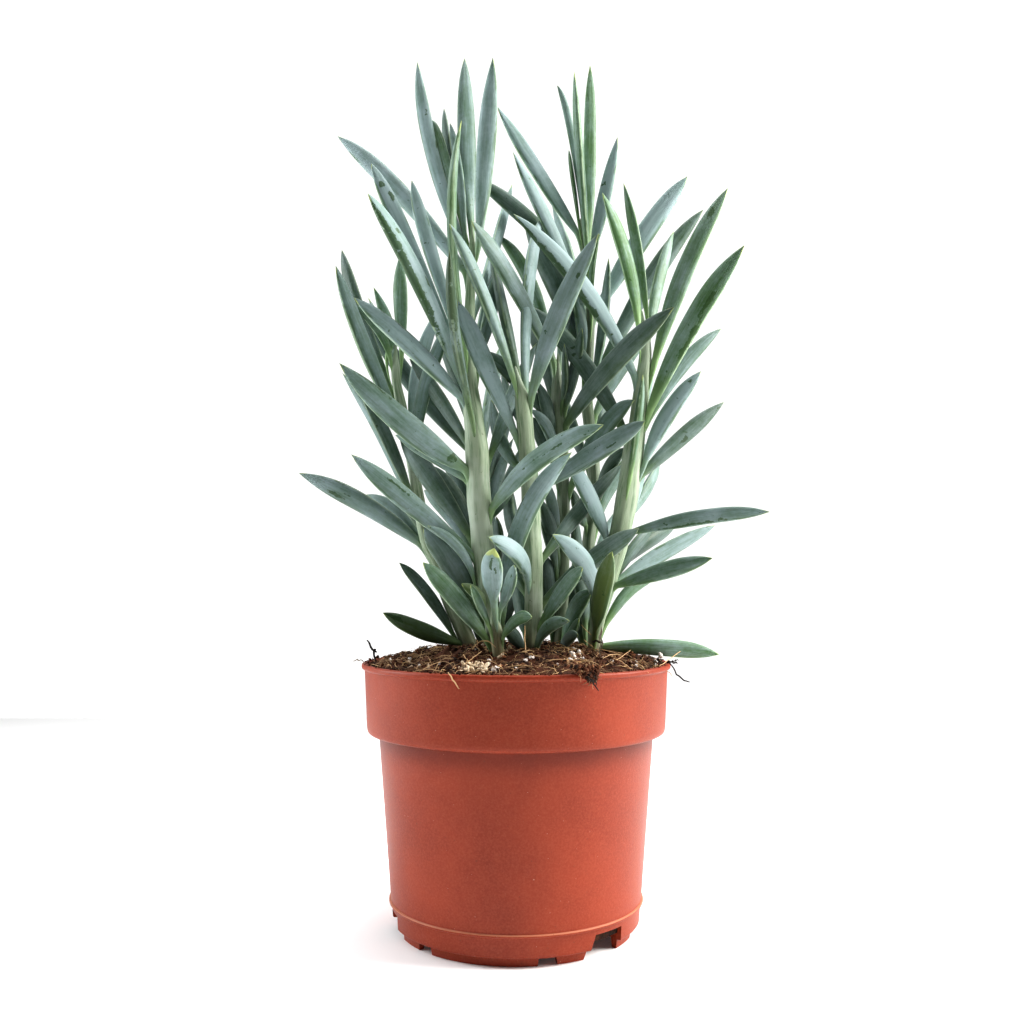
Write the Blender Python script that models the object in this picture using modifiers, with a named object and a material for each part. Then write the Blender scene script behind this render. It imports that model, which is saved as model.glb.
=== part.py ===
"""Potted senecio: a plastic nursery pot, its soil, eight stems and their fifty largest leaves.

Units are metres with +Z up.  The pot's axis is the world Z axis and its foot stands on Z = 0.
+X is to the right of someone looking at the plant, and +Y points away from them.

The plant is read from one view of it.  A place on it is written as the x and z, in millimetres,
where it shows on the upright plane through the pot's axis, and as its depth behind that plane.
"""

import math

import bmesh
import bpy
import numpy as np
from mathutils import Matrix, Quaternion, Vector

MM = 0.001

# The eye that x and z are read from, in millimetres
EYE_DISTANCE = 408.7
EYE_HEIGHT = 135.7

# Pot, in millimetres
POT_TURNS = 48
POT_HEIGHT = 103.0
LIP_RADIUS = 60.0
LIP_HEIGHT = 1.8
BAND_TOP_RADIUS = 58.8
BAND_FOOT_RADIUS = 57.9
BAND_FOOT = 76.4
BODY_TOP_RADIUS = 53.4
BODY_FOOT_RADIUS = 48.7
BODY_FOOT = 11.6
SKIRT_RADIUS = 48.0
SKIRT_FOOT = 3.6
RING_RADIUS = 46.0
RING_WIDTH = 2.8
WALL = 1.4
FLOOR = 1.8
NOTCH_ANGLES = (43.0, 163.0, 283.0)
NOTCH_WIDTH = 17.0
NOTCH_HEIGHT = 9.0
NOTCH_SLOPE = 0.78
RING_GAPS = 6
RING_GAP_START = 14.0
RING_GAP_WIDTH = 8.0

# Clearance between neighbouring pieces, in millimetres
GAP = 0.3

# Soil: radius and height of the mound's top, from the middle out
MOUND = ((0.0, 109.4), (16.0, 109.0), (30.0, 107.8), (42.0, 105.4), (51.0, 103.2))

# Stems: x, z, depth and radius of each point, from the buried end up
STEM_POINTS = 13
STEMS = {
    "left": (
        (-16, 96, 1, 2.6), (-18, 108, 0, 3.1), (-21.5, 117, 0, 3.3), (-27, 130, -1, 3.0),
        (-31.5, 143, -1, 2.8), (-35.5, 152, -2, 2.5), (-38.5, 168, -2, 2.3), (-41.5, 186, -2, 2.1),
        (-44.8, 202, -2, 2.0), (-47, 213, -1, 1.8), (-47.3, 221, 0, 1.6), (-47.2, 229, 0, 1.3),
    ),
    "front_left": (
        (-6, 95, -19, 2.7), (-7.3, 108, -20, 3.0), (-9, 118, -20, 3.5), (-11.6, 132, -21, 4.0),
        (-13, 150, -22, 4.2), (-14.4, 168, -22, 4.4), (-15, 184, -22, 4.3), (-16.4, 198, -21, 3.7),
        (-18, 212, -19, 2.9), (-18.4, 230, -17, 2.1), (-17.9, 250, -15, 1.8), (-17.3, 266, -14, 1.6),
        (-17.6, 275, -14, 1.2),
    ),
    "front": (
        (6, 96, -17, 2.6), (6.4, 112, -18, 3.1), (6.8, 128, -19, 3.4), (6.4, 145, -20, 3.5),
        (5.8, 160, -20, 3.4), (5, 176, -20, 3.3), (3.9, 190, -20, 3.2), (2.8, 203, -21, 2.9),
        (1.2, 212, -22, 2.2), (-0.4, 219, -22, 1.5),
    ),
    "middle": (
        (16, 98, 1, 2.4), (17, 112, 2, 2.6), (18, 130, 3, 2.7), (18.6, 150, 4, 2.6),
        (18.6, 168, 4, 2.5), (18, 183, 4, 2.6), (17.2, 196, 3, 2.8), (16.3, 208, 3, 2.4),
        (16.2, 217, 3, 1.9), (16.6, 224, 3, 1.4),
    ),
    "back": (
        (30, 99, 12, 2.3), (30, 112, 13, 2.6), (29, 130, 14, 2.7), (28.4, 148, 16, 2.6),
        (30.2, 163, 17, 2.5), (30.8, 176, 17, 2.5), (29.4, 191, 16, 2.4), (28, 205, 15, 2.3),
        (28.2, 220, 15, 2.2), (29, 234, 15, 2.0), (28.2, 250, 14, 1.7), (26.8, 264, 14, 1.5),
        (25.2, 277, 14, 1.0),
    ),
    "right": (
        (30, 97, -5, 2.3), (30.5, 109, -6, 2.3), (32.2, 120, -6, 2.9), (35.2, 132, -7, 3.4),
        (38.4, 144, -7, 3.8), (41.4, 157, -8, 4.1), (43.8, 170, -8, 4.1), (46.0, 186, -8, 3.8),
        (48.2, 200, -8, 3.3), (49.6, 213, -8, 2.8), (50.8, 224, -7, 2.3), (50.3, 233, -7, 1.9),
        (49.2, 241, -7, 1.4),
    ),
    "shoot": (
        (-6.4, 96, -28, 1.9), (-7, 108, -29, 2.2), (-8.2, 118, -30, 2.3), (-9.3, 127, -31, 1.9),
    ),
    "far": (
        (-8, 98, 14, 2.3), (-10, 114, 15, 2.6), (-12, 134, 16, 2.7), (-13, 154, 16, 2.6),
        (-14, 176, 15, 2.4), (-15.5, 196, 14, 2.1), (-17, 212, 13, 1.7), (-18, 222, 12, 1.2),
    ),
}

# Leaves: height where it leaves the stem, x and z halfway, x and z at the tip, depth of the tip,
# width, and the turn of its flat side about its own length in degrees
LEAF_THICKNESS = 0.58
LEAF_WIDEST = 0.5
LEAF_BASE_WIDTH = 0.38
LEAF_BASE_THICKNESS = 0.6
LEAF_SIDES = 8
LEAF_STATIONS = (0.0, 0.12, 0.3, 0.5, 0.7, 0.85, 0.95)
LEAVES = {
    "left": (
        (227, (-45.3, 243), (-45.9, 262), 2, 6.0, 0),
        (212, (-62.2, 242.5), (-68.5, 264.7), 12, 6.0, 0),
        (201, (-60.3, 229), (-71, 258.5), -12, 7.4, 0),
        (171, (-52, 193.5), (-62.8, 214.3), -12, 6.0, 0),
        (151, (-60, 164.8), (-85.3, 177), 12, 8.2, 0),
        (116, (-35, 130), (-46, 141.8), -6, 5.2, 0),
        (112, (-38, 115.5), (-52.3, 122.2), -14, 6.8, 0),
    ),
    "front_left": (
        (265, (-33.1, 303), (-38.7, 338.5), -4, 5.9, 0),
        (272, (-19.5, 308), (-20, 340), -6, 7.0, -70),
        (267, (-11.7, 304), (-9.3, 340.3), -20, 7.0, 45),
        (228, (-25.2, 275), (-21.5, 315.7), -30, 6.8, 0),
        (257, (-46.5, 288), (-70.2, 309.2), 12, 7.2, 0),
        (228, (-34.3, 266.5), (-41, 292), -12, 5.4, 0),
        (221, (-44, 271), (-57, 298.5), -25, 6.4, 0),
        (213, (-40.6, 257.3), (-58.3, 287), -42, 8.4, 0),
        (198, (-24.5, 236), (-26.3, 264.5), -50, 7.0, 0),
        (207, (-42, 227.3), (-63.6, 246), -30, 7.8, 0),
        (179, (-43, 195.6), (-69.5, 220.3), -34, 9.4, 0),
        (146, (-42, 165.4), (-64.8, 184.3), -34, 7.6, 0),
        (114, (-24.3, 128.4), (-36.6, 142), -32, 7.6, 0),
        (163, (10, 183.4), (34.5, 196), -46, 8.0, 0),
    ),
    "front": (
        (217, (-14, 250), (-26.5, 275), -34, 6.6, 0),
        (195, (-13.4, 222), (-23, 245), -27, 7.4, 0),
        (207, (17, 240), (32.4, 271), -44, 7.8, 0),
        (171, (33, 186.3), (50.8, 197.4), -32, 7.6, 0),
        (136, (0.3, 145.2), (-10.8, 151.8), -44, 7.2, 0),
    ),
    "middle": (
        (196, (38.5, 220.4), (62, 242.3), -40, 8.4, 0),
        (221, (-2.2, 253), (-17.6, 276.2), -34, 7.2, 0),
    ),
    "back": (
        (214, (53, 253.3), (73.6, 280.5), 18, 7.4, 0),
        (241, (50.2, 270.4), (67.4, 293.6), 8, 8.0, 0),
        (262, (34.5, 284), (39.8, 309), 6, 5.6, 0),
        (268, (28.9, 303), (29, 337.3), 22, 5.4, -30),
        (260, (25.2, 298), (22.9, 335), 4, 5.8, 0),
        (272, (9.2, 294), (-7.7, 321.5), 6, 6.4, 0),
    ),
    "right": (
        (177, (64.5, 190.4), (81.6, 204.9), 6, 6.4, 0),
        (183, (59.8, 200.4), (72.7, 217), -12, 6.6, 0),
        (199, (65.8, 219.6), (80.7, 233.7), 0, 5.4, 0),
        (203, (69, 236), (89.9, 266.5), -26, 8.2, 0),
        (222, (67, 258), (83.2, 289), -8, 7.4, 0),
        (236, (43.1, 262), (33.7, 287), -14, 6.4, 0),
        (215, (26, 250.4), (-1.2, 278.7), -22, 7.6, 0),
        (193, (25, 221.5), (4.8, 242.8), -2, 7.6, 0),
        (154.5, (72, 159.5), (99.8, 161.7), -45, 5.8, 0),
        (136, (58, 145.8), (78.3, 156.5), 10, 6.6, 0),
        (134, (58, 138.6), (77.3, 143.6), -24, 6.8, 0),
        (109, (58, 108.4), (79.8, 105.7), -6, 6.8, 0),
        (113, (33.5, 130), (37.9, 146.2), -38, 7.4, 60),
        (126, (26.8, 141.3), (14, 153), -32, 7.6, 0),
    ),
    "shoot": (
        (126, (-9.5, 139), (-8.3, 147.5), -50, 8.2, 70),
    ),
    "far": (
        (186, (-42, 214), (-60, 240), 14, 7.4, 0),
    ),
}

# Colours, as Base Color, roughness and metallic value
FINISHES = {
    "leaf": ((0.19, 0.29, 0.27, 1.0), 0.55, 0.0),
    "stem": ((0.42, 0.50, 0.32, 1.0), 0.55, 0.0),
    "soil": ((0.060, 0.032, 0.020, 1.0), 0.95, 0.0),
    "pot": ((0.42, 0.12, 0.06, 1.0), 0.42, 0.0),
}


def clear_scene():
    """Remove every object, so that the part starts from nothing."""
    for thing in list(bpy.data.objects):
        bpy.data.objects.remove(thing, do_unlink=True)


def new_collection(name):
    """Return a new collection linked to the scene."""
    group = bpy.data.collections.new(name)
    bpy.context.scene.collection.children.link(group)
    return group


def make_finish(name):
    """Return the Principled material of one finish."""
    colour, roughness, metallic = FINISHES[name]
    material = bpy.data.materials.new(name)
    material.use_nodes = True
    shader = material.node_tree.nodes["Principled BSDF"]
    shader.inputs["Base Color"].default_value = colour
    shader.inputs["Roughness"].default_value = roughness
    shader.inputs["Metallic"].default_value = metallic
    return material


def placed(x, z, depth):
    """Return the point seen at x and z, moved along the line of sight to its depth."""
    spread = 1.0 + depth / EYE_DISTANCE
    return Vector((x * spread, depth, EYE_HEIGHT + (z - EYE_HEIGHT) * spread)) * MM


def add_object(name, data, group, material=None):
    """Link an object for the data, with its material, to a collection."""
    thing = bpy.data.objects.new(name, data)
    if material is not None:
        data.materials.append(material)
    group.objects.link(thing)
    return thing


def hide_guide(thing):
    """Keep a cutter out of the picture and draw it as wire."""
    thing.hide_render = True
    thing.display_type = "WIRE"


def turned(name, profile, group, material):
    """Return a solid turned round the Z axis from radius and height points in millimetres.

    The profile starts on the axis, runs outwards and down its outer side, and ends on the axis.
    """
    mesh = bpy.data.meshes.new(name)
    points = [(radius * MM, 0.0, height * MM) for radius, height in profile]
    edges = [(i, i + 1) for i in range(len(points) - 1)]
    mesh.from_pydata(points, edges, [])
    solid = add_object(name, mesh, group, material)
    screw = solid.modifiers.new("Turn", "SCREW")
    screw.axis = "Z"
    screw.angle = math.tau
    screw.steps = POT_TURNS
    screw.render_steps = POT_TURNS
    screw.use_merge_vertices = True
    screw.merge_threshold = 0.01 * MM
    screw.use_smooth_shade = True
    return solid


def inner_radius(height):
    """Return the radius of the pot's inner wall at a height above the floor's corner."""
    if height > BAND_FOOT + WALL:
        along = (height - BAND_FOOT) / (POT_HEIGHT - BAND_FOOT)
        return BAND_FOOT_RADIUS + along * (BAND_TOP_RADIUS - BAND_FOOT_RADIUS) - WALL
    along = (height - BODY_FOOT) / (BAND_FOOT - BODY_FOOT)
    return BODY_FOOT_RADIUS + along * (BODY_TOP_RADIUS - BODY_FOOT_RADIUS) - WALL


def pot_profile():
    """Return the pot's section: floor, inner wall, lip, band, body, skirt and foot ring."""
    floor = SKIRT_FOOT + FLOOR
    step = BAND_FOOT + WALL
    return (
        (0.0, floor),
        (inner_radius(floor) - 1.2, floor),
        (inner_radius(floor), floor + 1.2),
        (inner_radius(step), step),
        (inner_radius(step + 0.4) - 0.4, step),
        (inner_radius(step + 0.4), step + 0.4),
        (inner_radius(POT_HEIGHT), POT_HEIGHT - 0.4),
        (inner_radius(POT_HEIGHT) + 0.5, POT_HEIGHT),
        (LIP_RADIUS - 0.5, POT_HEIGHT),
        (LIP_RADIUS, POT_HEIGHT - 0.5),
        (LIP_RADIUS, POT_HEIGHT - LIP_HEIGHT + 0.4),
        (LIP_RADIUS - 0.4, POT_HEIGHT - LIP_HEIGHT),
        (BAND_TOP_RADIUS, POT_HEIGHT - LIP_HEIGHT),
        (BAND_FOOT_RADIUS, BAND_FOOT + 1.6),
        (BAND_FOOT_RADIUS - 0.4, BAND_FOOT + 0.5),
        (BAND_FOOT_RADIUS - 1.3, BAND_FOOT),
        (BODY_TOP_RADIUS, BAND_FOOT),
        (BODY_FOOT_RADIUS, BODY_FOOT + 0.6),
        (BODY_FOOT_RADIUS + 0.4, BODY_FOOT + 0.1),
        (BODY_FOOT_RADIUS + 0.3, BODY_FOOT - 0.3),
        (SKIRT_RADIUS + 0.4, BODY_FOOT - 0.6),
        (SKIRT_RADIUS, SKIRT_FOOT),
        (RING_RADIUS, SKIRT_FOOT - 0.2),
        (RING_RADIUS - 0.3, 0.0),
        (RING_RADIUS - RING_WIDTH + 0.3, 0.0),
        (RING_RADIUS - RING_WIDTH, SKIRT_FOOT),
        (0.0, SKIRT_FOOT),
    )


def foot_cutter(name, angle, width, height, slope, inner, outer, group):
    """Return a wedge below the foot: width across at Z = 0, narrowed by slope at its height.

    The angle is measured from the front, positive to the right.
    """
    bm = bmesh.new()
    bmesh.ops.create_cube(bm, size=1.0)
    below = 2.0
    for vertex in bm.verts:
        top = vertex.co.z > 0.0
        vertex.co.x *= (width * slope if top else width) * MM
        vertex.co.y = (-outer if vertex.co.y < 0.0 else -inner) * MM
        vertex.co.z = (height if top else -below) * MM
    bm.transform(Matrix.Rotation(math.radians(angle), 4, "Z"))
    mesh = bpy.data.meshes.new(name)
    bm.to_mesh(mesh)
    bm.free()
    cutter = add_object(name, mesh, group)
    hide_guide(cutter)
    return cutter


def cut(solid, cutter):
    """Subtract a cutter from a solid."""
    boolean = solid.modifiers.new("Cut " + cutter.name, "BOOLEAN")
    boolean.operation = "DIFFERENCE"
    boolean.solver = "EXACT"
    boolean.object = cutter


def make_pot(parts, guides, material):
    """Model the pot: a turned shell with drain notches in its skirt and gaps in its foot ring."""
    pot = turned("pot", pot_profile(), parts, material)
    for number, angle in enumerate(NOTCH_ANGLES, 1):
        cut(pot, foot_cutter(
            f"notch_cutter_{number}", angle, NOTCH_WIDTH, NOTCH_HEIGHT, NOTCH_SLOPE,
            RING_RADIUS - RING_WIDTH - 3.0, SKIRT_RADIUS + 3.0, guides,
        ))
    for number in range(RING_GAPS):
        angle = RING_GAP_START + number * 360.0 / RING_GAPS
        cut(pot, foot_cutter(
            f"ring_cutter_{number + 1}", angle, RING_GAP_WIDTH, SKIRT_FOOT - 0.8, 0.8,
            RING_RADIUS - RING_WIDTH - 2.0, RING_RADIUS + 0.9, guides,
        ))
    return pot


def soil_profile():
    """Return the soil's section: the mound, then the inside of the pot less the gap."""
    floor = SKIRT_FOOT + FLOOR
    step = BAND_FOOT + WALL
    rim = POT_HEIGHT - 1.4
    return MOUND + (
        (inner_radius(rim) - GAP, rim),
        (inner_radius(step + 0.5) - GAP, step + 0.7),
        (inner_radius(step + 0.5) - GAP - 0.5, step + GAP),
        (inner_radius(step) - GAP, step + GAP),
        (inner_radius(floor) - GAP, floor + 1.2 + GAP),
        (inner_radius(floor) - 1.2 - GAP, floor + GAP),
        (0.0, floor + GAP),
    )


def smooth_route(points, count):
    """Return count places on a Catmull-Rom curve through the points, ends included."""
    knots = np.array(points, dtype=float)
    knots = np.vstack((2 * knots[0] - knots[1], knots, 2 * knots[-1] - knots[-2]))
    spans = len(points) - 1
    places = np.linspace(0.0, spans, count)
    span = np.minimum(places.astype(int), spans - 1)
    t = (places - span)[:, None]
    a, b, c, d = (knots[span + k] for k in range(4))
    return 0.5 * (
        2 * b + (c - a) * t + (2 * a - 5 * b + 4 * c - d) * t**2 + (3 * b - 3 * c + d - a) * t**3
    )


def tube(name, route, extra, group, material=None):
    """Return a tube curve along rows of x, z, depth and radius, wider by extra all round."""
    curve = bpy.data.curves.new(name, "CURVE")
    curve.dimensions = "3D"
    curve.bevel_depth = MM
    curve.bevel_resolution = 2
    curve.render_resolution_u = 0
    curve.use_fill_caps = True
    spline = curve.splines.new("POLY")
    spline.points.add(len(route) - 1)
    for point, (x, z, depth, radius) in zip(spline.points, route):
        point.co = (*placed(x, z, depth), 1.0)
        point.radius = radius + extra
    return add_object(name, curve, group, material)


def as_mesh(thing, group):
    """Replace a curve object by a closed mesh object of the same name and place."""
    depsgraph = bpy.context.evaluated_depsgraph_get()
    mesh = bpy.data.meshes.new_from_object(thing.evaluated_get(depsgraph))
    bm = bmesh.new()
    bm.from_mesh(mesh)
    bmesh.ops.remove_doubles(bm, verts=bm.verts, dist=0.001 * MM)
    bm.to_mesh(mesh)
    bm.free()
    solid = add_object(thing.name + "_mesh", mesh, group)
    solid.matrix_world = thing.matrix_world
    bpy.data.objects.remove(thing, do_unlink=True)
    return solid


def make_soil(parts, guides, material):
    """Model the soil: a mound that fills the pot, with a socket round each buried stem."""
    soil = turned("soil", soil_profile(), parts, material)
    for name, points in STEMS.items():
        route = smooth_route(points, STEM_POINTS)[:5]
        route[0, 1] -= GAP
        socket = as_mesh(tube(f"socket_{name}", route, GAP, guides), guides)
        hide_guide(socket)
        cut(soil, socket)
    return soil


def make_stem(name, parts, material):
    """Model one stem as a tube that thins towards its top."""
    route = smooth_route(STEMS[name], STEM_POINTS)
    return tube(f"stem_{name}", route, 0.0, parts, material)


def stem_at(name, height):
    """Return the stem's middle, its direction and its radius where it shows at a height."""
    route = smooth_route(STEMS[name], 12 * STEM_POINTS)
    x, z, depth, radius = (
        np.interp((height - 1.0, height, height + 1.0), route[:, 1], route[:, k]) for k in range(4)
    )
    below, middle, above = (placed(x[k], z[k], depth[k]) for k in range(3))
    return middle, (above - below).normalized(), radius[1] * MM, depth[1]


def leaf_swell(t):
    """Return a leaf's width and thickness at t along it, as shares of their largest values.

    Both grow as a quarter sine up to the widest place and then follow 1 - u^3 to the tip.
    """
    if t < LEAF_WIDEST:
        rise = math.sin(0.5 * math.pi * t / LEAF_WIDEST)
        return (
            LEAF_BASE_WIDTH + (1.0 - LEAF_BASE_WIDTH) * rise,
            LEAF_BASE_THICKNESS + (1.0 - LEAF_BASE_THICKNESS) * rise,
        )
    u = (t - LEAF_WIDEST) / (1.0 - LEAF_WIDEST)
    fall = 1.0 - u**3
    return fall, fall


def leaf_rings(stem, height, middle, tip, depth, width, turn):
    """Return the rings of one leaf, from its base to near its tip, and the tip itself.

    The leaf follows a parabola from the stem's side through its halfway point to its tip.  Each
    section is a lens: as wide as the leaf in the plane of the stem and the leaf, thinner across.
    """
    root, axis, radius, root_depth = stem_at(stem, height)
    half = placed(*middle, root_depth + 0.55 * (depth - root_depth))
    end = placed(*tip, depth)
    out = (half - root) - (half - root).dot(axis) * axis
    out.normalize()
    lean = (half - root).normalized().dot(axis)
    base_half = 0.5 * LEAF_BASE_WIDTH * width * MM
    start = root + out * (radius + GAP * MM * 1.2 + base_half * lean)
    control = 2.0 * half - 0.5 * (start + end)
    across = axis.cross(end - start).normalized()
    rings = []
    for t in LEAF_STATIONS:
        place = start * (1 - t) ** 2 + control * 2 * t * (1 - t) + end * t * t
        along = ((control - start) * (1 - t) + (end - control) * t).normalized()
        side = Quaternion(along, math.radians(turn)) @ (across - across.dot(along) * along).normalized()
        flat = along.cross(side)
        wide, thick = leaf_swell(t)
        ring = []
        for k in range(LEAF_SIDES):
            angle = math.tau * k / LEAF_SIDES
            ring.append(
                place
                + flat * (0.5 * width * MM * wide * math.cos(angle))
                + side * (0.5 * width * MM * LEAF_THICKNESS * thick * math.sin(angle))
            )
        rings.append(ring)
    return rings, end


def make_leaf(name, rings, tip, parts, material):
    """Model one leaf as a loft from its round base through its flat middle to its pointed tip."""
    bm = bmesh.new()
    loops = [[bm.verts.new(point) for point in ring] for ring in rings]
    point = bm.verts.new(tip)
    bm.faces.new(reversed(loops[0]))
    for lower, upper in zip(loops, loops[1:]):
        for k in range(LEAF_SIDES):
            after = (k + 1) % LEAF_SIDES
            bm.faces.new((lower[k], lower[after], upper[after], upper[k]))
    for k in range(LEAF_SIDES):
        bm.faces.new((loops[-1][k], loops[-1][(k + 1) % LEAF_SIDES], point))
    bmesh.ops.recalc_face_normals(bm, faces=bm.faces)
    mesh = bpy.data.meshes.new(name)
    bm.to_mesh(mesh)
    bm.free()
    mesh.shade_smooth()
    return add_object(name, mesh, parts, material)


def main():
    """Model the potted plant."""
    clear_scene()
    parts = new_collection("potted_senecio")
    guides = new_collection("cutters")
    finishes = {name: make_finish(name) for name in FINISHES}
    make_pot(parts, guides, finishes["pot"])
    make_soil(parts, guides, finishes["soil"])
    for stem in STEMS:
        make_stem(stem, parts, finishes["stem"])
    for stem, leaves in LEAVES.items():
        for number, leaf in enumerate(leaves, 1):
            rings, tip = leaf_rings(stem, *leaf)
            make_leaf(f"leaf_{stem}_{number:02d}", rings, tip, parts, finishes["leaf"])


main()
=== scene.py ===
# %% [markdown]
# # A potted senecio
# This senecio is a succulent whose blue-green leaves stand like small knife blades round pale stems.
# The CAD frame holds the stems, the fifty largest leaves, the soil and the pot, all in metres.
# The script puts a finely modelled piece on each of them, adds the smaller leaves and the litter on
# the soil, and lights the whole like a studio photo.

# %% Load the frame
import math
import bmesh
import bpy
import numpy as np
from mathutils import Matrix, Vector


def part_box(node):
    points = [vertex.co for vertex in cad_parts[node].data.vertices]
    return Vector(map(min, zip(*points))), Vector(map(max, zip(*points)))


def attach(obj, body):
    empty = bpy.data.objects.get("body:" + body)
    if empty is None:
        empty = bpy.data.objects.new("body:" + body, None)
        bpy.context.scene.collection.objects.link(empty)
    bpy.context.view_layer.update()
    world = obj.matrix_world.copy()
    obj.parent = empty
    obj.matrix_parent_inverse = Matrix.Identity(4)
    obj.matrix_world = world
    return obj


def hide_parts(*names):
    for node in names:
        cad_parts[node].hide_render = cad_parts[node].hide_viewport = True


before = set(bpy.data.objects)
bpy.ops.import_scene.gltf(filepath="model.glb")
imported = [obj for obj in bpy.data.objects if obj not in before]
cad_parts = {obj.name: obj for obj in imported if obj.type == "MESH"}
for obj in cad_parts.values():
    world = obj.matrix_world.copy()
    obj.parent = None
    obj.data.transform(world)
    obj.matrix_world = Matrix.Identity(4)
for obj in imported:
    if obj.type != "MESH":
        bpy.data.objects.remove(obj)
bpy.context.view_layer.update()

MM = 0.001

# %% [markdown]
# ## Camera
# The camera was fitted to the ellipses of the pot's lip and foot. It stands close, level with the
# upper soil, and the picture plane is moved a little instead of tilting the camera, so that upright
# stems stay upright in the picture.

# %% Camera
VIEW_DISTANCE = 408.7
VIEW_HEIGHT = 135.7
scene = bpy.context.scene
scene.view_settings.view_transform = "Standard"
scene.view_settings.look = "Medium High Contrast"
camera_data = bpy.data.cameras.new("camera")
camera_data.sensor_width = 36.0
camera_data.lens = 36.598
camera_data.shift_x = -0.0040
camera_data.shift_y = 0.0646
camera = bpy.data.objects.new("camera", camera_data)
camera.location = (0.0, -VIEW_DISTANCE * MM, VIEW_HEIGHT * MM)
camera.rotation_euler = (math.radians(90.0), 0.0, 0.0)
scene.collection.objects.link(camera)
scene.camera = camera
print("camera at", tuple(round(c, 4) for c in camera.location))

# %% [markdown]
# ## Node helpers
# Every finish below is a small graph of nodes. These helpers add one node each and hand back its
# output, so that a finish reads like a formula.

# %% Node helpers
def put(tree, socket, value):
    """Links another node's output to a socket, or sets the socket to a constant."""
    if isinstance(value, bpy.types.NodeSocket):
        tree.links.new(value, socket)
    else:
        socket.default_value = value


def add(tree, kind, inputs, output=0, **settings):
    """Adds a node, sets its settings and its inputs by name or number, and returns one output."""
    node = tree.nodes.new(kind)
    for key, value in settings.items():
        setattr(node, key, value)
    for key, value in inputs.items():
        put(tree, node.inputs[key], value)
    return node.outputs[output]


def calc(tree, operation, a, b=0.0, c=0.0):
    """One sum or product of numbers, held between 0 and 1 where a later mix needs it."""
    return add(tree, "ShaderNodeMath", {0: a, 1: b, 2: c}, operation=operation)


def mix(tree, factor, a, b):
    """A colour that goes from a to b as factor goes from 0 to 1."""
    return add(tree, "ShaderNodeMix", {0: factor, 6: a, 7: b}, 2, data_type="RGBA")


def noise(tree, vector, scale, detail=3.0, rough=0.55):
    """Soft random patches, from 0 to 1 and mostly near one half."""
    inputs = {"Vector": vector, "Scale": scale, "Detail": detail, "Roughness": rough}
    return add(tree, "ShaderNodeTexNoise", inputs)


def rise(tree, value, low, high):
    """0 below low, 1 above high, and a soft S between them."""
    inputs = {"Value": value, "From Min": low, "From Max": high}
    return add(tree, "ShaderNodeMapRange", inputs, interpolation_type="SMOOTHSTEP")


def attribute(tree, name):
    """A number stored at each vertex of the piece."""
    return add(tree, "ShaderNodeAttribute", {}, 2, attribute_name=name)


def place(tree):
    """The piece's own coordinates, in metres."""
    return add(tree, "ShaderNodeTexCoord", {}, 3)


def vector(tree, x, y, z):
    """Three numbers as one vector."""
    return add(tree, "ShaderNodeCombineXYZ", {0: x, 1: y, 2: z})


def bump(tree, height, distance, strength=1.0):
    """Small relief from a height between 0 and 1, of distance metres."""
    inputs = {"Height": height, "Distance": distance, "Strength": strength}
    return add(tree, "ShaderNodeBump", inputs)


def finish(name, **constants):
    """A new material and its Principled shader, with constant values set on the sockets."""
    material = bpy.data.materials.new(name)
    material.use_nodes = True
    shader = material.node_tree.nodes["Principled BSDF"]
    for key, value in constants.items():
        shader.inputs[key.replace("_", " ")].default_value = value
    return material, material.node_tree, shader


# %% [markdown]
# ## Light
# The plant stood in a white studio. A large soft lamp on the right and a little to the front does
# most of the work, a weaker one on the left lifts the shadows, and the side of the camera is dimmer,
# which is why the middle of the pot is darker than both its flanks.

# %% Light and floor
def lamp(name, spot, aim, size, power, colour):
    """A rectangular soft lamp at a spot that faces the point it aims at."""
    data = bpy.data.lights.new(name, "AREA")
    data.shape = "RECTANGLE"
    data.size, data.size_y = size
    data.energy = power
    data.color = colour
    thing = bpy.data.objects.new(name, data)
    thing.location = spot
    thing.rotation_euler = (Vector(aim) - Vector(spot)).to_track_quat("-Z", "Y").to_euler()
    scene.collection.objects.link(thing)
    return thing


lamp("right_lamp", (0.56, -0.04, 0.44), (0.0, 0.0, 0.15), (0.30, 0.5), 8.6, (1.0, 0.98, 0.95))
lamp("left_lamp", (-0.57, 0.04, 0.34), (0.0, 0.0, 0.16), (0.30, 0.5), 3.6, (0.95, 0.98, 1.0))
lamp("top_lamp", (0.06, 0.04, 0.85), (0.0, 0.0, 0.10), (0.6, 0.6), 5.2, (1.0, 1.0, 1.0))

world = bpy.data.worlds.new("studio")
world.use_nodes = True
scene.world = world
air = world.node_tree
direction = add(air, "ShaderNodeTexCoord", {}, 0)
split = air.nodes.new("ShaderNodeSeparateXYZ")
air.links.new(direction, split.inputs[0])
behind = rise(air, split.outputs[1], -0.60, 0.50)
glow = calc(air, "MULTIPLY_ADD", behind, 0.38, 0.08)
seen = add(air, "ShaderNodeLightPath", {}, 0)
air.links.new(calc(air, "MAXIMUM", glow, seen), air.nodes["Background"].inputs["Strength"])
air.nodes["Background"].inputs["Color"].default_value = (1.0, 1.0, 1.0, 1.0)

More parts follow.
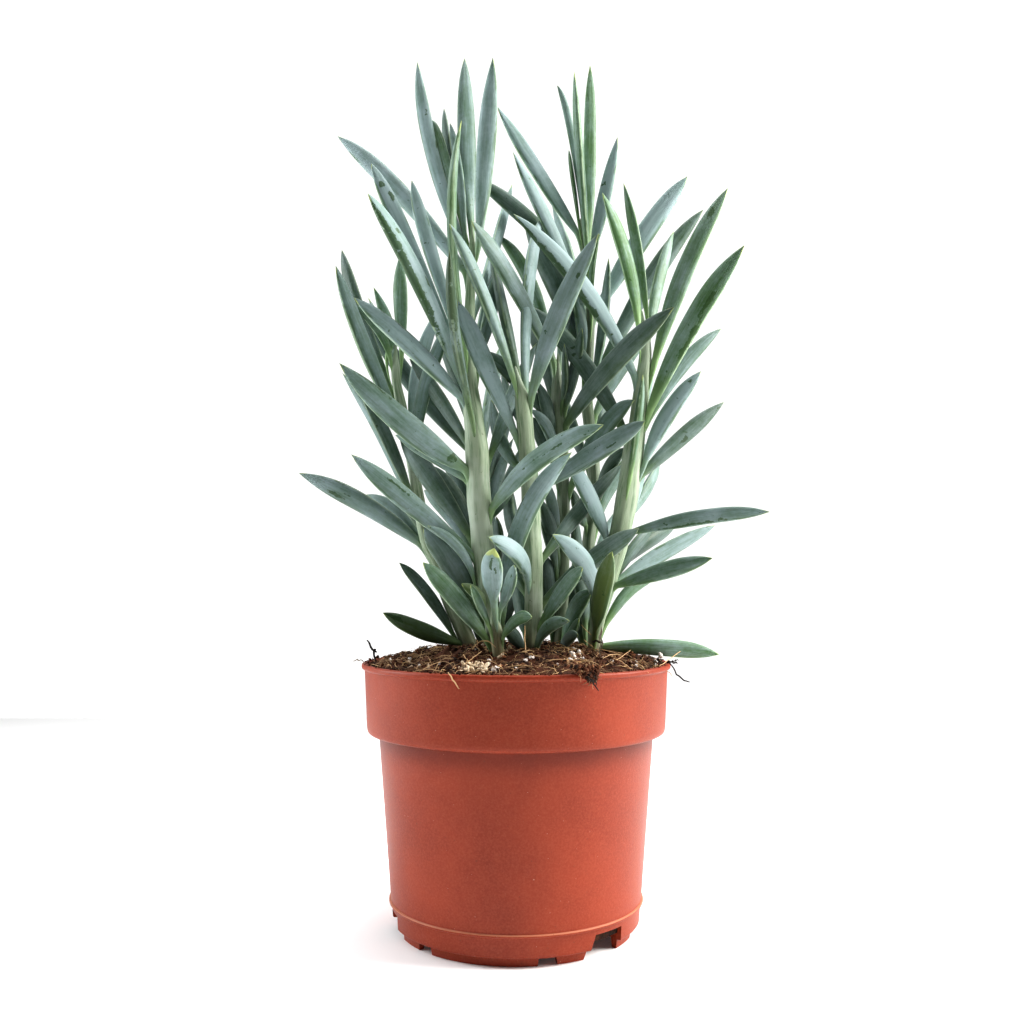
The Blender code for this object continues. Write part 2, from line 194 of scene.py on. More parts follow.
floor_finish, floor_tree, floor_shader = finish(
    "floor", Roughness=0.9, Specular_IOR_Level=0.1, Emission_Strength=0.03,
    Emission_Color=(1.0, 1.0, 1.0, 1.0),
)
grain = noise(floor_tree, place(floor_tree), 3.0)
floor_colour = mix(floor_tree, grain, (0.93, 0.93, 0.93, 1.0), (0.97, 0.97, 0.97, 1.0))
floor_tree.links.new(floor_colour, floor_shader.inputs["Base Color"])
floor_mesh = bpy.data.meshes.new("floor")
corners = [(-0.6, -0.6, 0.0), (0.6, -0.6, 0.0), (0.6, 0.6, 0.0), (-0.6, 0.6, 0.0)]
floor_mesh.from_pydata(corners, [], [(0, 1, 2, 3)])
floor = bpy.data.objects.new("floor", floor_mesh)
floor_mesh.materials.append(floor_finish)
scene.collection.objects.link(floor)

# %% [markdown]
# ## Tables of the plant
# Each stem is a row of knots: x, z, depth and radius. Each leaf gives the height where it leaves its
# stem, the points halfway and at its tip as seen from the front, the depth of the tip, its width, the
# turn of its flat side in degrees and its tone, which sets its bloom and also paints light and shade
# into its colour. All lengths are in millimetres.

# %% Stem table
STEMS = {
    "left": (
        (-16, 96, 1, 2.6), (-18, 108, 0, 3.1), (-21.5, 117, 0, 3.3), (-27, 130, -1, 3.0),
        (-31.5, 143, -1, 2.8), (-35.5, 152, -2, 2.5), (-38.5, 168, -2, 2.3), (-41.5, 186, -2, 2.1),
        (-44.8, 202, -2, 2.0), (-47, 213, -1, 1.8), (-47.3, 221, 0, 1.6), (-47.2, 229, 0, 1.3),
    ),
    "front_left": (
        (-6, 95, -19, 2.7), (-7.3, 108, -20, 3.0), (-9, 118, -20, 3.5), (-11.6, 132, -21, 4.0),
        (-13, 150, -22, 4.2), (-14.4, 168, -22, 4.4), (-15, 184, -22, 4.3), (-16.4, 198, -21, 3.7),
        (-18, 212, -19, 2.9), (-18.4, 230, -17, 2.1), (-17.9, 250, -15, 1.8), (-17.3, 266, -14, 1.6),
        (-17.6, 275, -14, 1.2),
    ),
    "front": (
        (6, 96, -17, 2.6), (6.4, 112, -18, 3.1), (6.8, 128, -19, 3.4), (6.4, 145, -20, 3.5),
        (5.8, 160, -20, 3.4), (5, 176, -20, 3.3), (3.9, 190, -20, 3.2), (2.8, 203, -21, 2.9),
        (1.2, 212, -22, 2.2), (-0.4, 219, -22, 1.5),
    ),
    "middle": (
        (16, 98, 1, 2.4), (17, 112, 2, 2.6), (18, 130, 3, 2.7), (18.6, 150, 4, 2.6),
        (18.6, 168, 4, 2.5), (18, 183, 4, 2.6), (17.2, 196, 3, 2.8), (16.3, 208, 3, 2.4),
        (16.2, 217, 3, 1.9), (16.6, 224, 3, 1.4),
    ),
    "back": (
        (30, 99, 12, 2.3), (30, 112, 13, 2.6), (29, 130, 14, 2.7), (28.4, 148, 16, 2.6),
        (30.2, 163, 17, 2.5), (30.8, 176, 17, 2.5), (29.4, 191, 16, 2.4), (28, 205, 15, 2.3),
        (28.2, 220, 15, 2.2), (29, 234, 15, 2.0), (28.2, 250, 14, 1.7), (26.8, 264, 14, 1.5),
        (25.2, 277, 14, 1.0),
    ),
    "right": (
        (30, 97, -5, 2.3), (30.5, 109, -6, 2.3), (32.2, 120, -6, 2.9), (35.2, 132, -7, 3.4),
        (38.4, 144, -7, 3.8), (41.4, 157, -8, 4.1), (43.8, 170, -8, 4.1), (46.0, 186, -8, 3.8),
        (48.2, 200, -8, 3.3), (49.6, 213, -8, 2.8), (50.8, 224, -7, 2.3), (50.3, 233, -7, 1.9),
        (49.2, 241, -7, 1.4),
    ),
    "shoot": ((-6.4, 96, -28, 1.9), (-7, 108, -29, 2.2), (-8.2, 118, -30, 2.3), (-9.3, 127, -31, 1.9)),
    "far": (
        (-8, 98, 14, 2.3), (-10, 114, 15, 2.6), (-12, 134, 16, 2.7), (-13, 154, 16, 2.6),
        (-14, 176, 15, 2.4), (-15.5, 196, 14, 2.1), (-17, 212, 13, 1.7), (-18, 222, 12, 1.2),
    ),
}
print(len(STEMS), "stems")

# %% Large leaf table
LEAVES = {
    "left": (
        (227, (-45.3, 243), (-45.9, 262), 2, 6.0, 0, "green"),
        (212, (-62.2, 242.5), (-68.5, 264.7), 12, 6.0, 0, "dark"),
        (201, (-60.3, 229), (-71, 258.5), -12, 7.4, 0, "mid"),
        (171, (-52, 193.5), (-62.8, 214.3), -12, 6.0, 0, "dark"),
        (151, (-60, 164.8), (-85.3, 177), 12, 8.2, 0, "slate"),
        (116, (-35, 130), (-46, 141.8), -6, 5.2, 0, "dark"),
        (112, (-38, 115.5), (-52.3, 122.2), -14, 6.8, 0, "deep"),
    ),
    "front_left": (
        (265, (-33.1, 303), (-38.7, 338.5), -4, 5.9, 0, "pale"),
        (272, (-19.5, 308), (-20, 340), -6, 7.0, -70, "mid"),
        (267, (-11.7, 304), (-9.3, 340.3), -20, 7.0, 45, "blue"),
        (228, (-25.2, 275), (-21.5, 315.7), -30, 6.8, 0, "green"),
        (257, (-46.5, 288), (-70.2, 309.2), 12, 7.2, 0, "blue"),
        (228, (-34.3, 266.5), (-41, 292), -12, 5.4, 0, "pale"),
        (221, (-44, 271), (-57, 298.5), -25, 6.4, 0, "pale"),
        (213, (-40.6, 257.3), (-58.3, 287), -42, 8.4, 0, "pale"),
        (198, (-24.5, 236), (-26.3, 264.5), -50, 7.0, 0, "dark"),
        (207, (-42, 227.3), (-63.6, 246), -30, 7.8, 0, "pale"),
        (179, (-43, 195.6), (-69.5, 220.3), -34, 9.4, 0, "mid"),
        (146, (-42, 165.4), (-64.8, 184.3), -34, 7.6, 0, "mid"),
        (114, (-24.3, 128.4), (-36.6, 142), -32, 7.6, 0, "green"),
        (163, (10, 183.4), (34.5, 196), -46, 8.0, 0, "mid"),
    ),
    "front": (
        (217, (-14, 250), (-26.5, 275), -34, 6.6, 0, "mid"),
        (195, (-13.4, 222), (-23, 245), -27, 7.4, 0, "pale"),
        (207, (17, 240), (32.4, 271), -44, 7.8, 0, "slate"),
        (171, (33, 186.3), (50.8, 197.4), -32, 7.6, 0, "slate"),
        (136, (0.3, 145.2), (-10.8, 151.8), -44, 7.2, 0, "white"),
    ),
    "middle": (
        (196, (38.5, 220.4), (62, 242.3), -40, 8.4, 0, "dark"),
        (221, (-2.2, 253), (-17.6, 276.2), -34, 7.2, 0, "mid"),
    ),
    "back": (
        (214, (53, 253.3), (73.6, 280.5), 18, 7.4, 0, "dark"),
        (241, (50.2, 270.4), (67.4, 293.6), 8, 8.0, 0, "pale"),
        (262, (34.5, 284), (39.8, 309), 6, 5.6, 0, "pale"),
        (268, (28.9, 303), (29, 337.3), 22, 5.4, -30, "green"),
        (260, (25.2, 298), (22.9, 335), 4, 5.8, 0, "green"),
        (272, (9.2, 294), (-7.7, 321.5), 6, 6.4, 0, "pale"),
    ),
    "right": (
        (177, (64.5, 190.4), (81.6, 204.9), 6, 6.4, 0, "dark"),
        (183, (59.8, 200.4), (72.7, 217), -12, 6.6, 0, "white"),
        (199, (65.8, 219.6), (80.7, 233.7), 0, 5.4, 0, "mid"),
        (203, (69, 236), (89.9, 266.5), -26, 8.2, 0, "green"),
        (222, (67, 258), (83.2, 289), -8, 7.4, 0, "green"),
        (236, (43.1, 262), (33.7, 287), -14, 6.4, 0, "young"),
        (215, (26, 250.4), (-1.2, 278.7), -22, 7.6, 0, "white"),
        (193, (25, 221.5), (4.8, 242.8), -2, 7.6, 0, "dark"),
        (154.5, (72, 159.5), (99.8, 161.7), -45, 5.8, 0, "mid"),
        (136, (58, 145.8), (78.3, 156.5), 10, 6.6, 0, "blue"),
        (134, (58, 138.6), (77.3, 143.6), -24, 6.8, 0, "fern"),
        (109, (58, 108.4), (79.8, 105.7), -6, 6.8, 0, "green"),
        (113, (33.5, 130), (37.9, 146.2), -38, 7.4, 60, "olive"),
        (126, (26.8, 141.3), (14, 153), -32, 7.6, 0, "white"),
    ),
    "shoot": ((126, (-9.5, 139), (-8.3, 147.5), -50, 8.2, 70, "pale"),),
    "far": ((186, (-42, 214), (-60, 240), 14, 7.4, 0, "dark"),),
}
print(sum(len(rows) for rows in LEAVES.values()), "large leaves")

# %% [markdown]
# The smaller and the hidden leaves have no node of their own in the frame. They fill the clump where
# the photo shows a leaf behind another one, and the sides that the photo doesn't show.

# %% Small leaf table
SMALL_LEAVES = {
    "front_left": (
        (270, (-28.5, 302), (-33.3, 315.5), -6, 4.2, 0, "green"),
        (268, (-26.2, 300), (-28.3, 320.3), 0, 4.4, 0, "dark"),
        (266, (-22.5, 295), (-26, 314.5), -10, 3.6, 0, "mid"),
        (175, (-33, 184.5), (-47.6, 192), -16, 6.0, 0, "mid"),
        (153, (-33, 174), (-46, 191), -6, 8.2, 0, "dark"),
        (128, (-26.3, 143.8), (-36.5, 155.6), -24, 10.0, 0, "dark"),
        (136, (-22.8, 147.8), (-35.0, 156.4), -32, 3.8, 0, "mid"),
        (148, (-28, 162), (-36.2, 170.3), -10, 5.0, 0, "mid"),
        (126, (-15, 129), (-21.5, 133.5), -34, 5.0, 0, "olive"),
        (124, (3.6, 160), (22, 185.3), -33, 7.5, 0, "blue"),
        (240, (-8, 266), (-1.5, 290.5), 20, 6.0, 0, "pale"),
        (184, (-2, 205), (8, 228), -4, 6.0, 0, "mid"),
        (222, (-10, 240), (-6, 262), 0, 5.8, 0, "mid"),
        (190, (-30, 206), (-42, 222), 2, 6.0, 0, "dark"),
        (160, (-3, 172), (4, 190), -2, 6.4, 0, "dark"),
    ),
    "left": (
        (188, (-35, 213), (-21.8, 245), -8, 6.0, 0, "mid"),
        (152, (-47, 162), (-59, 168.5), 16, 5.5, 0, "mid"),
        (163, (-53.6, 192.5), (-68.5, 216.5), 14, 4.6, 0, "mid"),
        (222, (-54.5, 234), (-64, 243), -8, 4.2, 0, "green"),
        (225, (-50, 234), (-56, 250), -2, 4.6, 0, "green"),
        (196, (-38, 220), (-29, 243), 16, 6.0, 0, "pale"),
        (140, (-42, 160), (-48, 176), 22, 6.0, 0, "dark"),
        (206, (-50, 226), (-58, 246), 26, 6.0, 0, "mid"),
    ),
    "front": (
        (217, (-5.2, 242), (-10.5, 264), -6, 7.6, 0, "dark"),
        (143, (25, 162), (42, 181), 2, 6.5, 0, "dark"),
        (210, (5.0, 252), (10.2, 277.5), 6, 7.0, 0, "pale"),
        (196, (-1.8, 205), (-6, 217), 2, 5.0, 0, "mid"),
        (146, (-1.5, 158), (-3.0, 172.5), -4, 9.0, 0, "dark"),
        (130, (-1.5, 141), (-4.5, 151), -2, 8.0, 0, "dark"),
        (120, (1.5, 131), (0.5, 142), -4, 6.0, 0, "dark"),
        (127, (31, 143.5), (48.3, 155.2), -16, 7.5, 0, "dark"),
        (119, (19, 131.5), (26, 140), -36, 6.8, 0, "fern"),
        (109, (12.5, 116.4), (21.2, 118.9), -40, 5.4, 0, "fern"),
        (114, (1.6, 124), (-2.2, 141), -8, 6.6, 0, "dark"),
        (108, (-1.0, 113), (-5.0, 117), -26, 5.4, 0, "dark"),
        (180, (-6, 190), (-10, 206), -8, 6.4, 0, "mid"),
    ),
    "middle": (
        (172, (34, 194), (46.5, 205.7), -12, 7.4, 0, "mid"),
        (224, (5, 253), (-7.5, 270.5), 10, 5.5, 0, "green"),
        (112, (23.5, 123.6), (29.8, 130.4), -14, 8.2, 0, "fern"),
        (106, (22.0, 114.5), (24.8, 119.6), -20, 5.0, 0, "green"),
        (105, (20.0, 111.5), (24.6, 113.2), -26, 5.2, 0, "dark"),
        (118, (12.0, 128), (8.5, 138), 0, 6.0, 0, "dark"),
        (198, (0, 214), (-13, 225), -6, 6.6, 0, "dark"),
        (178, (13, 193), (5.5, 202), -4, 5.0, 0, "mid"),
        (205, (19.4, 215), (19, 228), -8, 5.2, 0, "dark"),
        (192, (12.5, 201), (8.5, 213), -2, 5.8, 0, "dark"),
        (182, (10.8, 190), (6.5, 199), 2, 6.4, 0, "dark"),
        (146, (13.5, 155), (10, 167), -6, 6.4, 0, "dark"),
        (122, (12.8, 133), (11.5, 145), 0, 7.4, 0, "dark"),
        (203, (23, 218), (26, 234), -8, 6.0, 0, "dark"),
        (155, (14, 165), (10.5, 176), -6, 5.6, 0, "slate"),
        (140, (13.5, 150), (10, 160), -4, 5.6, 0, "dark"),
        (221, (20, 242), (25, 262), 20, 6.6, 0, "slate"),
        (205, (10, 224), (2, 240), 20, 6.4, 0, "dark"),
    ),
    "back": (
        (212, (34.5, 238), (36.2, 261.5), 2, 6.0, 0, "mid"),
        (238, (30, 258), (32.5, 271.3), -2, 4.0, 0, "green"),
        (244, (12.5, 275), (-1.3, 303.3), -4, 6.0, 0, "pale"),
        (254, (4, 277), (-17.3, 293), 2, 7.0, 0, "dark"),
        (270, (21.5, 311), (16, 329.2), 12, 3.0, 0, "mid"),
        (274, (22.2, 293), (20.6, 304), 10, 3.2, 0, "green"),
        (200, (42, 220), (56, 238), 30, 7.0, 0, "mid"),
        (180, (20, 200), (12, 222), 34, 7.0, 0, "dark"),
        (160, (40, 176), (56, 190), 34, 7.0, 0, "mid"),
        (236, (22, 258), (14, 282), 36, 6.4, 0, "mid"),
        (190, (36, 212), (40, 234), 42, 7.0, 0, "dark"),
        (140, (38, 156), (52, 170), 38, 6.6, 0, "mid"),
        (118, (26, 130), (22, 146), 8, 7.0, 0, "dark"),
        (110, (24, 122), (19.5, 134), 16, 7.0, 0, "dark"),
        (226, (16, 250), (3, 276), 20, 8.6, 0, "dark"),
        (222, (25.5, 236), (23, 249), 8, 6.5, 0, "mid"),
        (166, (36, 178), (43, 187), 0, 7.0, 0, "dark"),
        (156, (24.5, 162), (22, 171), 6, 6.0, 0, "dark"),
        (140, (24, 149), (23.5, 160), 6, 7.4, 0, "dark"),
    ),
    "right": (
        (176, (47.5, 196), (49.8, 215.8), -24, 6.0, 0, "green"),
        (158, (48, 171), (50.8, 184), 4, 5.0, 0, "pale"),
        (151, (29.5, 166), (20, 184), -16, 6.5, 0, "pale"),
        (240, (47.5, 265), (42.2, 291), -4, 4.5, 0, "green"),
        (141, (52, 150), (62, 155.3), 22, 6.5, 0, "dark"),
        (118, (45, 131.2), (55.2, 135.6), 4, 5.2, 0, "green"),
        (232, (56, 252), (62, 272), 10, 5.6, 0, "green"),
        (190, (51, 206), (54, 224), 26, 6.4, 0, "mid"),
        (138, (47, 148.5), (54, 155.5), 10, 6.5, 0, "dark"),
        (160, (52, 172), (56, 182), 26, 6.4, 0, "mid"),
    ),
    "shoot": (
        (113, (0.5, 119.5), (6.5, 120.3), -42, 4.8, 0, "fern"),
        (124, (-2.5, 133), (-1, 141), -38, 5.0, 0, "mid"),
        (118, (-14.5, 126), (-18, 133), -40, 4.2, 0, "green"),
    ),
    "far": (
        (150, (-9, 168), (-1, 191), 20, 5.0, 0, "slate"),
        (150, (-22, 171), (-29, 184), 24, 6.6, 0, "dark"),
        (154, (-24, 168), (-33.5, 180), 8, 6.5, 0, "dark"),
        (134, (-7, 148), (-8, 160), 4, 7.0, 0, "dark"),
        (196, (-26, 222), (-34, 246), 24, 6.6, 0, "dark"),
        (216, (-12, 238), (-6, 262), 24, 6.6, 0, "mid"),
        (174, (-6, 190), (-2, 208), 30, 7.0, 0, "dark"),
        (206, (-22, 230), (-24, 256), 34, 6.6, 0, "mid"),
        (140, (-20, 158), (-28, 174), 34, 7.0, 0, "mid"),
        (128, (-4, 142), (6, 152), 30, 6.4, 0, "mid"),
        (110, (-4.5, 122), (1.5, 134), 8, 7.0, 0, "dark"),
        (112, (-15, 124), (-22, 138), 10, 7.6, 0, "dark"),
        (104, (-14, 112.5), (-17.5, 120.5), -4, 5.6, 0, "dark"),
        (186, (-10, 208), (-4, 230), 44, 7.0, 0, "mid"),
    ),
}
print(sum(len(rows) for rows in SMALL_LEAVES.values()), "small leaves")

# %% [markdown]
# ## Surface helpers
# Every new piece is a numpy grid: rings of points along a path, closed by a pole at each end. The
# whole grid is computed at once, then handed to Blender in one go.

# %% Surface helpers
def unit(vectors):
    """Each vector divided by its own length."""
    return vectors / np.linalg.norm(vectors, axis=-1, keepdims=True)


def soft_step(value):
    """3v^2 - 2v^3 of a value held between 0 and 1."""
    v = np.clip(value, 0.0, 1.0)
    return v * v * (3.0 - 2.0 * v)


def tube_faces(rings, sides):
    """Quads between neighbouring rings and a fan of triangles at each pole, poles stored last."""
    ring, side = (index.ravel() for index in np.indices((rings - 1, sides)))
    after = (side + 1) % sides
    lower, upper = ring * sides, (ring + 1) * sides
    quads = np.stack((lower + side, upper + side, upper + after, lower + after), axis=1)
    side = np.arange(sides)
    after = (side + 1) % sides
    first, last = rings * sides, rings * sides + 1
    top = (rings - 1) * sides
    start_fan = np.stack((np.full(sides, first), side, after), axis=1)
    end_fan = np.stack((np.full(sides, last), top + after, top + side), axis=1)
    return quads, np.vstack((start_fan, end_fan))


def closed_tube(grid, start, end):
    """A tube's points with its two poles, and its faces turned outward by the sign of its volume."""
    rings, sides, _ = grid.shape
    points = np.vstack((grid.reshape(-1, 3), start, end))
    quads, fans = tube_faces(rings, sides)
    a, b, c = (points[fans[:, k]] - points.mean(axis=0) for k in range(3))
    volume = np.einsum("ij,ij->", a, np.cross(b, c))
    for k in (0, 2):
        a, b, c = (points[quads[:, i]] - points.mean(axis=0) for i in (0, 1 + k // 2, 2 + k // 2))
        volume += np.einsum("ij,ij->", a, np.cross(b, c))
    if volume < 0.0:
        quads, fans = quads[:, ::-1], fans[:, ::-1]
    return points, quads, fans


def join_surfaces(surfaces):
    """Several (points, quads, triangles, numbers) surfaces as one, with the indices moved along."""
    starts = np.cumsum([0] + [len(surface[0]) for surface in surfaces[:-1]])
    points = np.vstack([surface[0] for surface in surfaces])
    quads = np.vstack([surface[1] + start for surface, start in zip(surfaces, starts)])
    triangles = np.vstack([surface[2] + start for surface, start in zip(surfaces, starts)])
    names = surfaces[0][3].keys()
    numbers = {name: np.concatenate([surface[3][name] for surface in surfaces]) for name in names}
    return points, quads, triangles, numbers


def make_piece(name, surface, material):
    """A mesh object from a surface, smooth, with its vertex numbers, that rides on the plant."""
    points, quads, triangles, numbers = surface
    mesh = bpy.data.meshes.new(name)
    mesh.vertices.add(len(points))
    mesh.vertices.foreach_set("co", np.asarray(points, dtype=np.float32).ravel())
    mesh.loops.add(quads.size + triangles.size)
    mesh.loops.foreach_set("vertex_index", np.concatenate((quads.ravel(), triangles.ravel())))
    starts = np.concatenate((4 * np.arange(len(quads)), quads.size + 3 * np.arange(len(triangles))))
    mesh.polygons.add(len(starts))
    mesh.polygons.foreach_set("loop_start", starts)
    mesh.update(calc_edges=True)
    mesh.validate()
    mesh.shade_smooth()
    for key, values in numbers.items():
        layer = mesh.attributes.new(key, "FLOAT", "POINT")
        layer.data.foreach_set("value", np.asarray(values, dtype=np.float32))
    mesh.materials.append(material)
    piece = bpy.data.objects.new(name, mesh)
    scene.collection.objects.link(piece)
    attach(piece, "root")
    return piece


def stand_for(piece, node):
    """The piece takes the place of a CAD node, and its box is compared with the node's."""
    low, high = (np.array(corner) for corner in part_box(node))
    points = np.array([corner[:] for corner in piece.bound_box])
    off = np.abs(np.concatenate((points.min(axis=0) - low, points.max(axis=0) - high))).max() / MM
    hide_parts(node)
    return off


# %% [markdown]
# ## Where things are
# The tables were read off the front view, so a point that lies deeper is spread away from the middle
# of the view by its depth. That keeps every leaf where the photo shows it, whatever its depth.

# %% Stem routes
def placed(x, z, depth):
    """Front-view x and z at a depth as a point in millimetres, spread by 1 + depth / distance."""
    spread = 1.0 + np.asarray(depth) / VIEW_DISTANCE
    flat = np.broadcast_arrays(x * spread, depth, VIEW_HEIGHT + (z - VIEW_HEIGHT) * spread)
    return np.stack(flat, axis=-1).astype(float)


def smooth_route(points, count):
    """Count places on a Catmull-Rom curve, which passes through every knot with a smooth turn."""
    knots = np.array(points, dtype=float)
    knots = np.vstack((2 * knots[0] - knots[1], knots, 2 * knots[-1] - knots[-2]))
    spans = len(points) - 1
    places = np.linspace(0.0, spans, count)
    span = np.minimum(places.astype(int), spans - 1)
    t = (places - span)[:, None]
    a, b, c, d = (knots[span + k] for k in range(4))
    return 0.5 * (
        2 * b + (c - a) * t + (2 * a - 5 * b + 4 * c - d) * t**2 + (3 * b - 3 * c + d - a) * t**3
    )


ROUTES = {name: smooth_route(rows, 400) for name, rows in STEMS.items()}


def stem_at(name, height):
    """The stem's middle, its direction, its radius and its depth where it shows at a height."""
    route = ROUTES[name]
    heights = np.array((height - 1.0, height, height + 1.0))
    x, z, depth, radius = (np.interp(heights, route[:, 1], route[:, k]) for k in range(4))
    points = placed(x, z, depth)
    return points[1], unit(points[2] - points[0]), radius[1], depth[1]


print("stem tops", {name: tuple(placed(*route[-1, :3]).round(1)) for name, route in ROUTES.items()})

# %% [markdown]
# ## Leaf shape
# A leaf is a thin blade that stands edge-on to its stem, like a knife held with its edge towards it.
# Its base runs a little way down the stem as a ridge. The surface has two parameters: the place
# along the leaf, and the angle round a lens-shaped section.

# %% Leaf shape
RNG = np.random.default_rng(7)
# Each tone is a bloom, a brightness and a warmth. Besides the leaves' own colours, the brightness paints light and
# shade: the pale and white tones lighten leaves that catch the light, the slate and dark tones darken leaves in
# shade.
TONES = {
    "white": (1.05, 1.08, 0.0),
    "pale": (0.95, 1.16, 0.0),
    "blue": (0.80, 1.05, 0.0),
    "mid": (0.58, 1.00, 0.0),
    "green": (0.28, 1.35, 0.1),
    "young": (0.08, 1.80, 0.15),
    "dark": (0.42, 0.68, 0.0),
    "fern": (0.30, 1.12, 0.0),
    "deep": (0.20, 0.95, 0.4),
    "slate": (0.72, 0.84, 0.0),
    "olive": (0.10, 1.05, 0.60),
}
# Scratches and rubbed spots: place along, place across, half length, half width, all as shares.
MARKS = {
    "leaf_front_left_07": ((0.70, 0.35, 0.035, 0.35), (0.80, -0.1, 0.03, 0.5)),
    "leaf_front_left_08": ((0.55, -0.9, 0.42, 0.40), (0.70, 0.1, 0.02, 0.2), (0.42, 0.5, 0.05, 0.15)),
    "leaf_front_left_09": ((0.78, -0.9, 0.34, 0.55), (0.25, -0.7, 0.16, 0.20)),
    "leaf_front_left_10": ((0.62, 0.85, 0.20, 0.22),),
    "leaf_front_left_11": ((0.12, 0.2, 0.04, 0.7), (0.80, 0.8, 0.15, 0.15)),
    "leaf_front_left_12": ((0.62, 0.5, 0.10, 0.12), (0.45, 0.2, 0.012, 0.12), (0.36, 0.1, 0.012, 0.12)),
    "leaf_front_left_14": ((0.45, 0.1, 0.16, 0.10), (0.62, -0.2, 0.10, 0.08)),
    "leaf_front_03": ((0.74, -0.3, 0.02, 0.22),),
    "leaf_front_04": ((0.45, 0.3, 0.12, 0.10), (0.62, -0.4, 0.08, 0.08)),
    "leaf_left_05": ((0.70, -0.3, 0.07, 0.18), (0.62, 0.2, 0.03, 0.15)),
    "leaf_right_01": ((0.50, -0.3, 0.05, 0.30),),
    "leaf_right_02": ((0.86, 0.2, 0.03, 0.40),),
    "leaf_right_04": ((0.62, -0.5, 0.09, 0.25), (0.40, -0.8, 0.15, 0.20)),
    "leaf_right_05": ((0.82, 0.1, 0.045, 0.50),),
    "leaf_right_07": ((0.60, -0.9, 0.30, 0.30), (0.90, -0.8, 0.08, 0.3)),
    "leaf_right_08": ((0.50, 0.0, 0.015, 0.3), (0.58, 0.2, 0.015, 0.3), (0.54, -0.3, 0.01, 0.3)),
    "leaf_right_09": ((0.70, 0.1, 0.20, 0.09), (0.45, -0.75, 0.28, 0.14), (0.66, -0.5, 0.02, 0.2)),
    "leaf_left_07": ((0.85, 0.0, 0.12, 0.5),),
    "leaf_shoot_01": ((0.66, 0.0, 0.15, 0.22),),
}
BASE_WIDTH = 0.38
BASE_THICKNESS = 0.60
THICKNESS = 0.58
# Where a leaf is widest, and the power of its fall towards the tip: a long blade, and a short spade.
BLADE = (0.5, 3.0)
SPADE = (0.50, 1.7)


def swell(t, shape):
    """Width and thickness along a leaf: a quarter sine up to the widest place, then 1 - u^power."""
    widest, power = shape
    grow = np.sin(0.5 * np.pi * np.clip(t / widest, 0.0, 1.0))
    fall = 1.0 - np.clip((t - widest) / (1.0 - widest), 0.0, 1.0) ** power
    wide = (BASE_WIDTH + (1.0 - BASE_WIDTH) * grow) * fall
    thick = (BASE_THICKNESS + (1.0 - BASE_THICKNESS) * grow) * fall
    return wide, thick


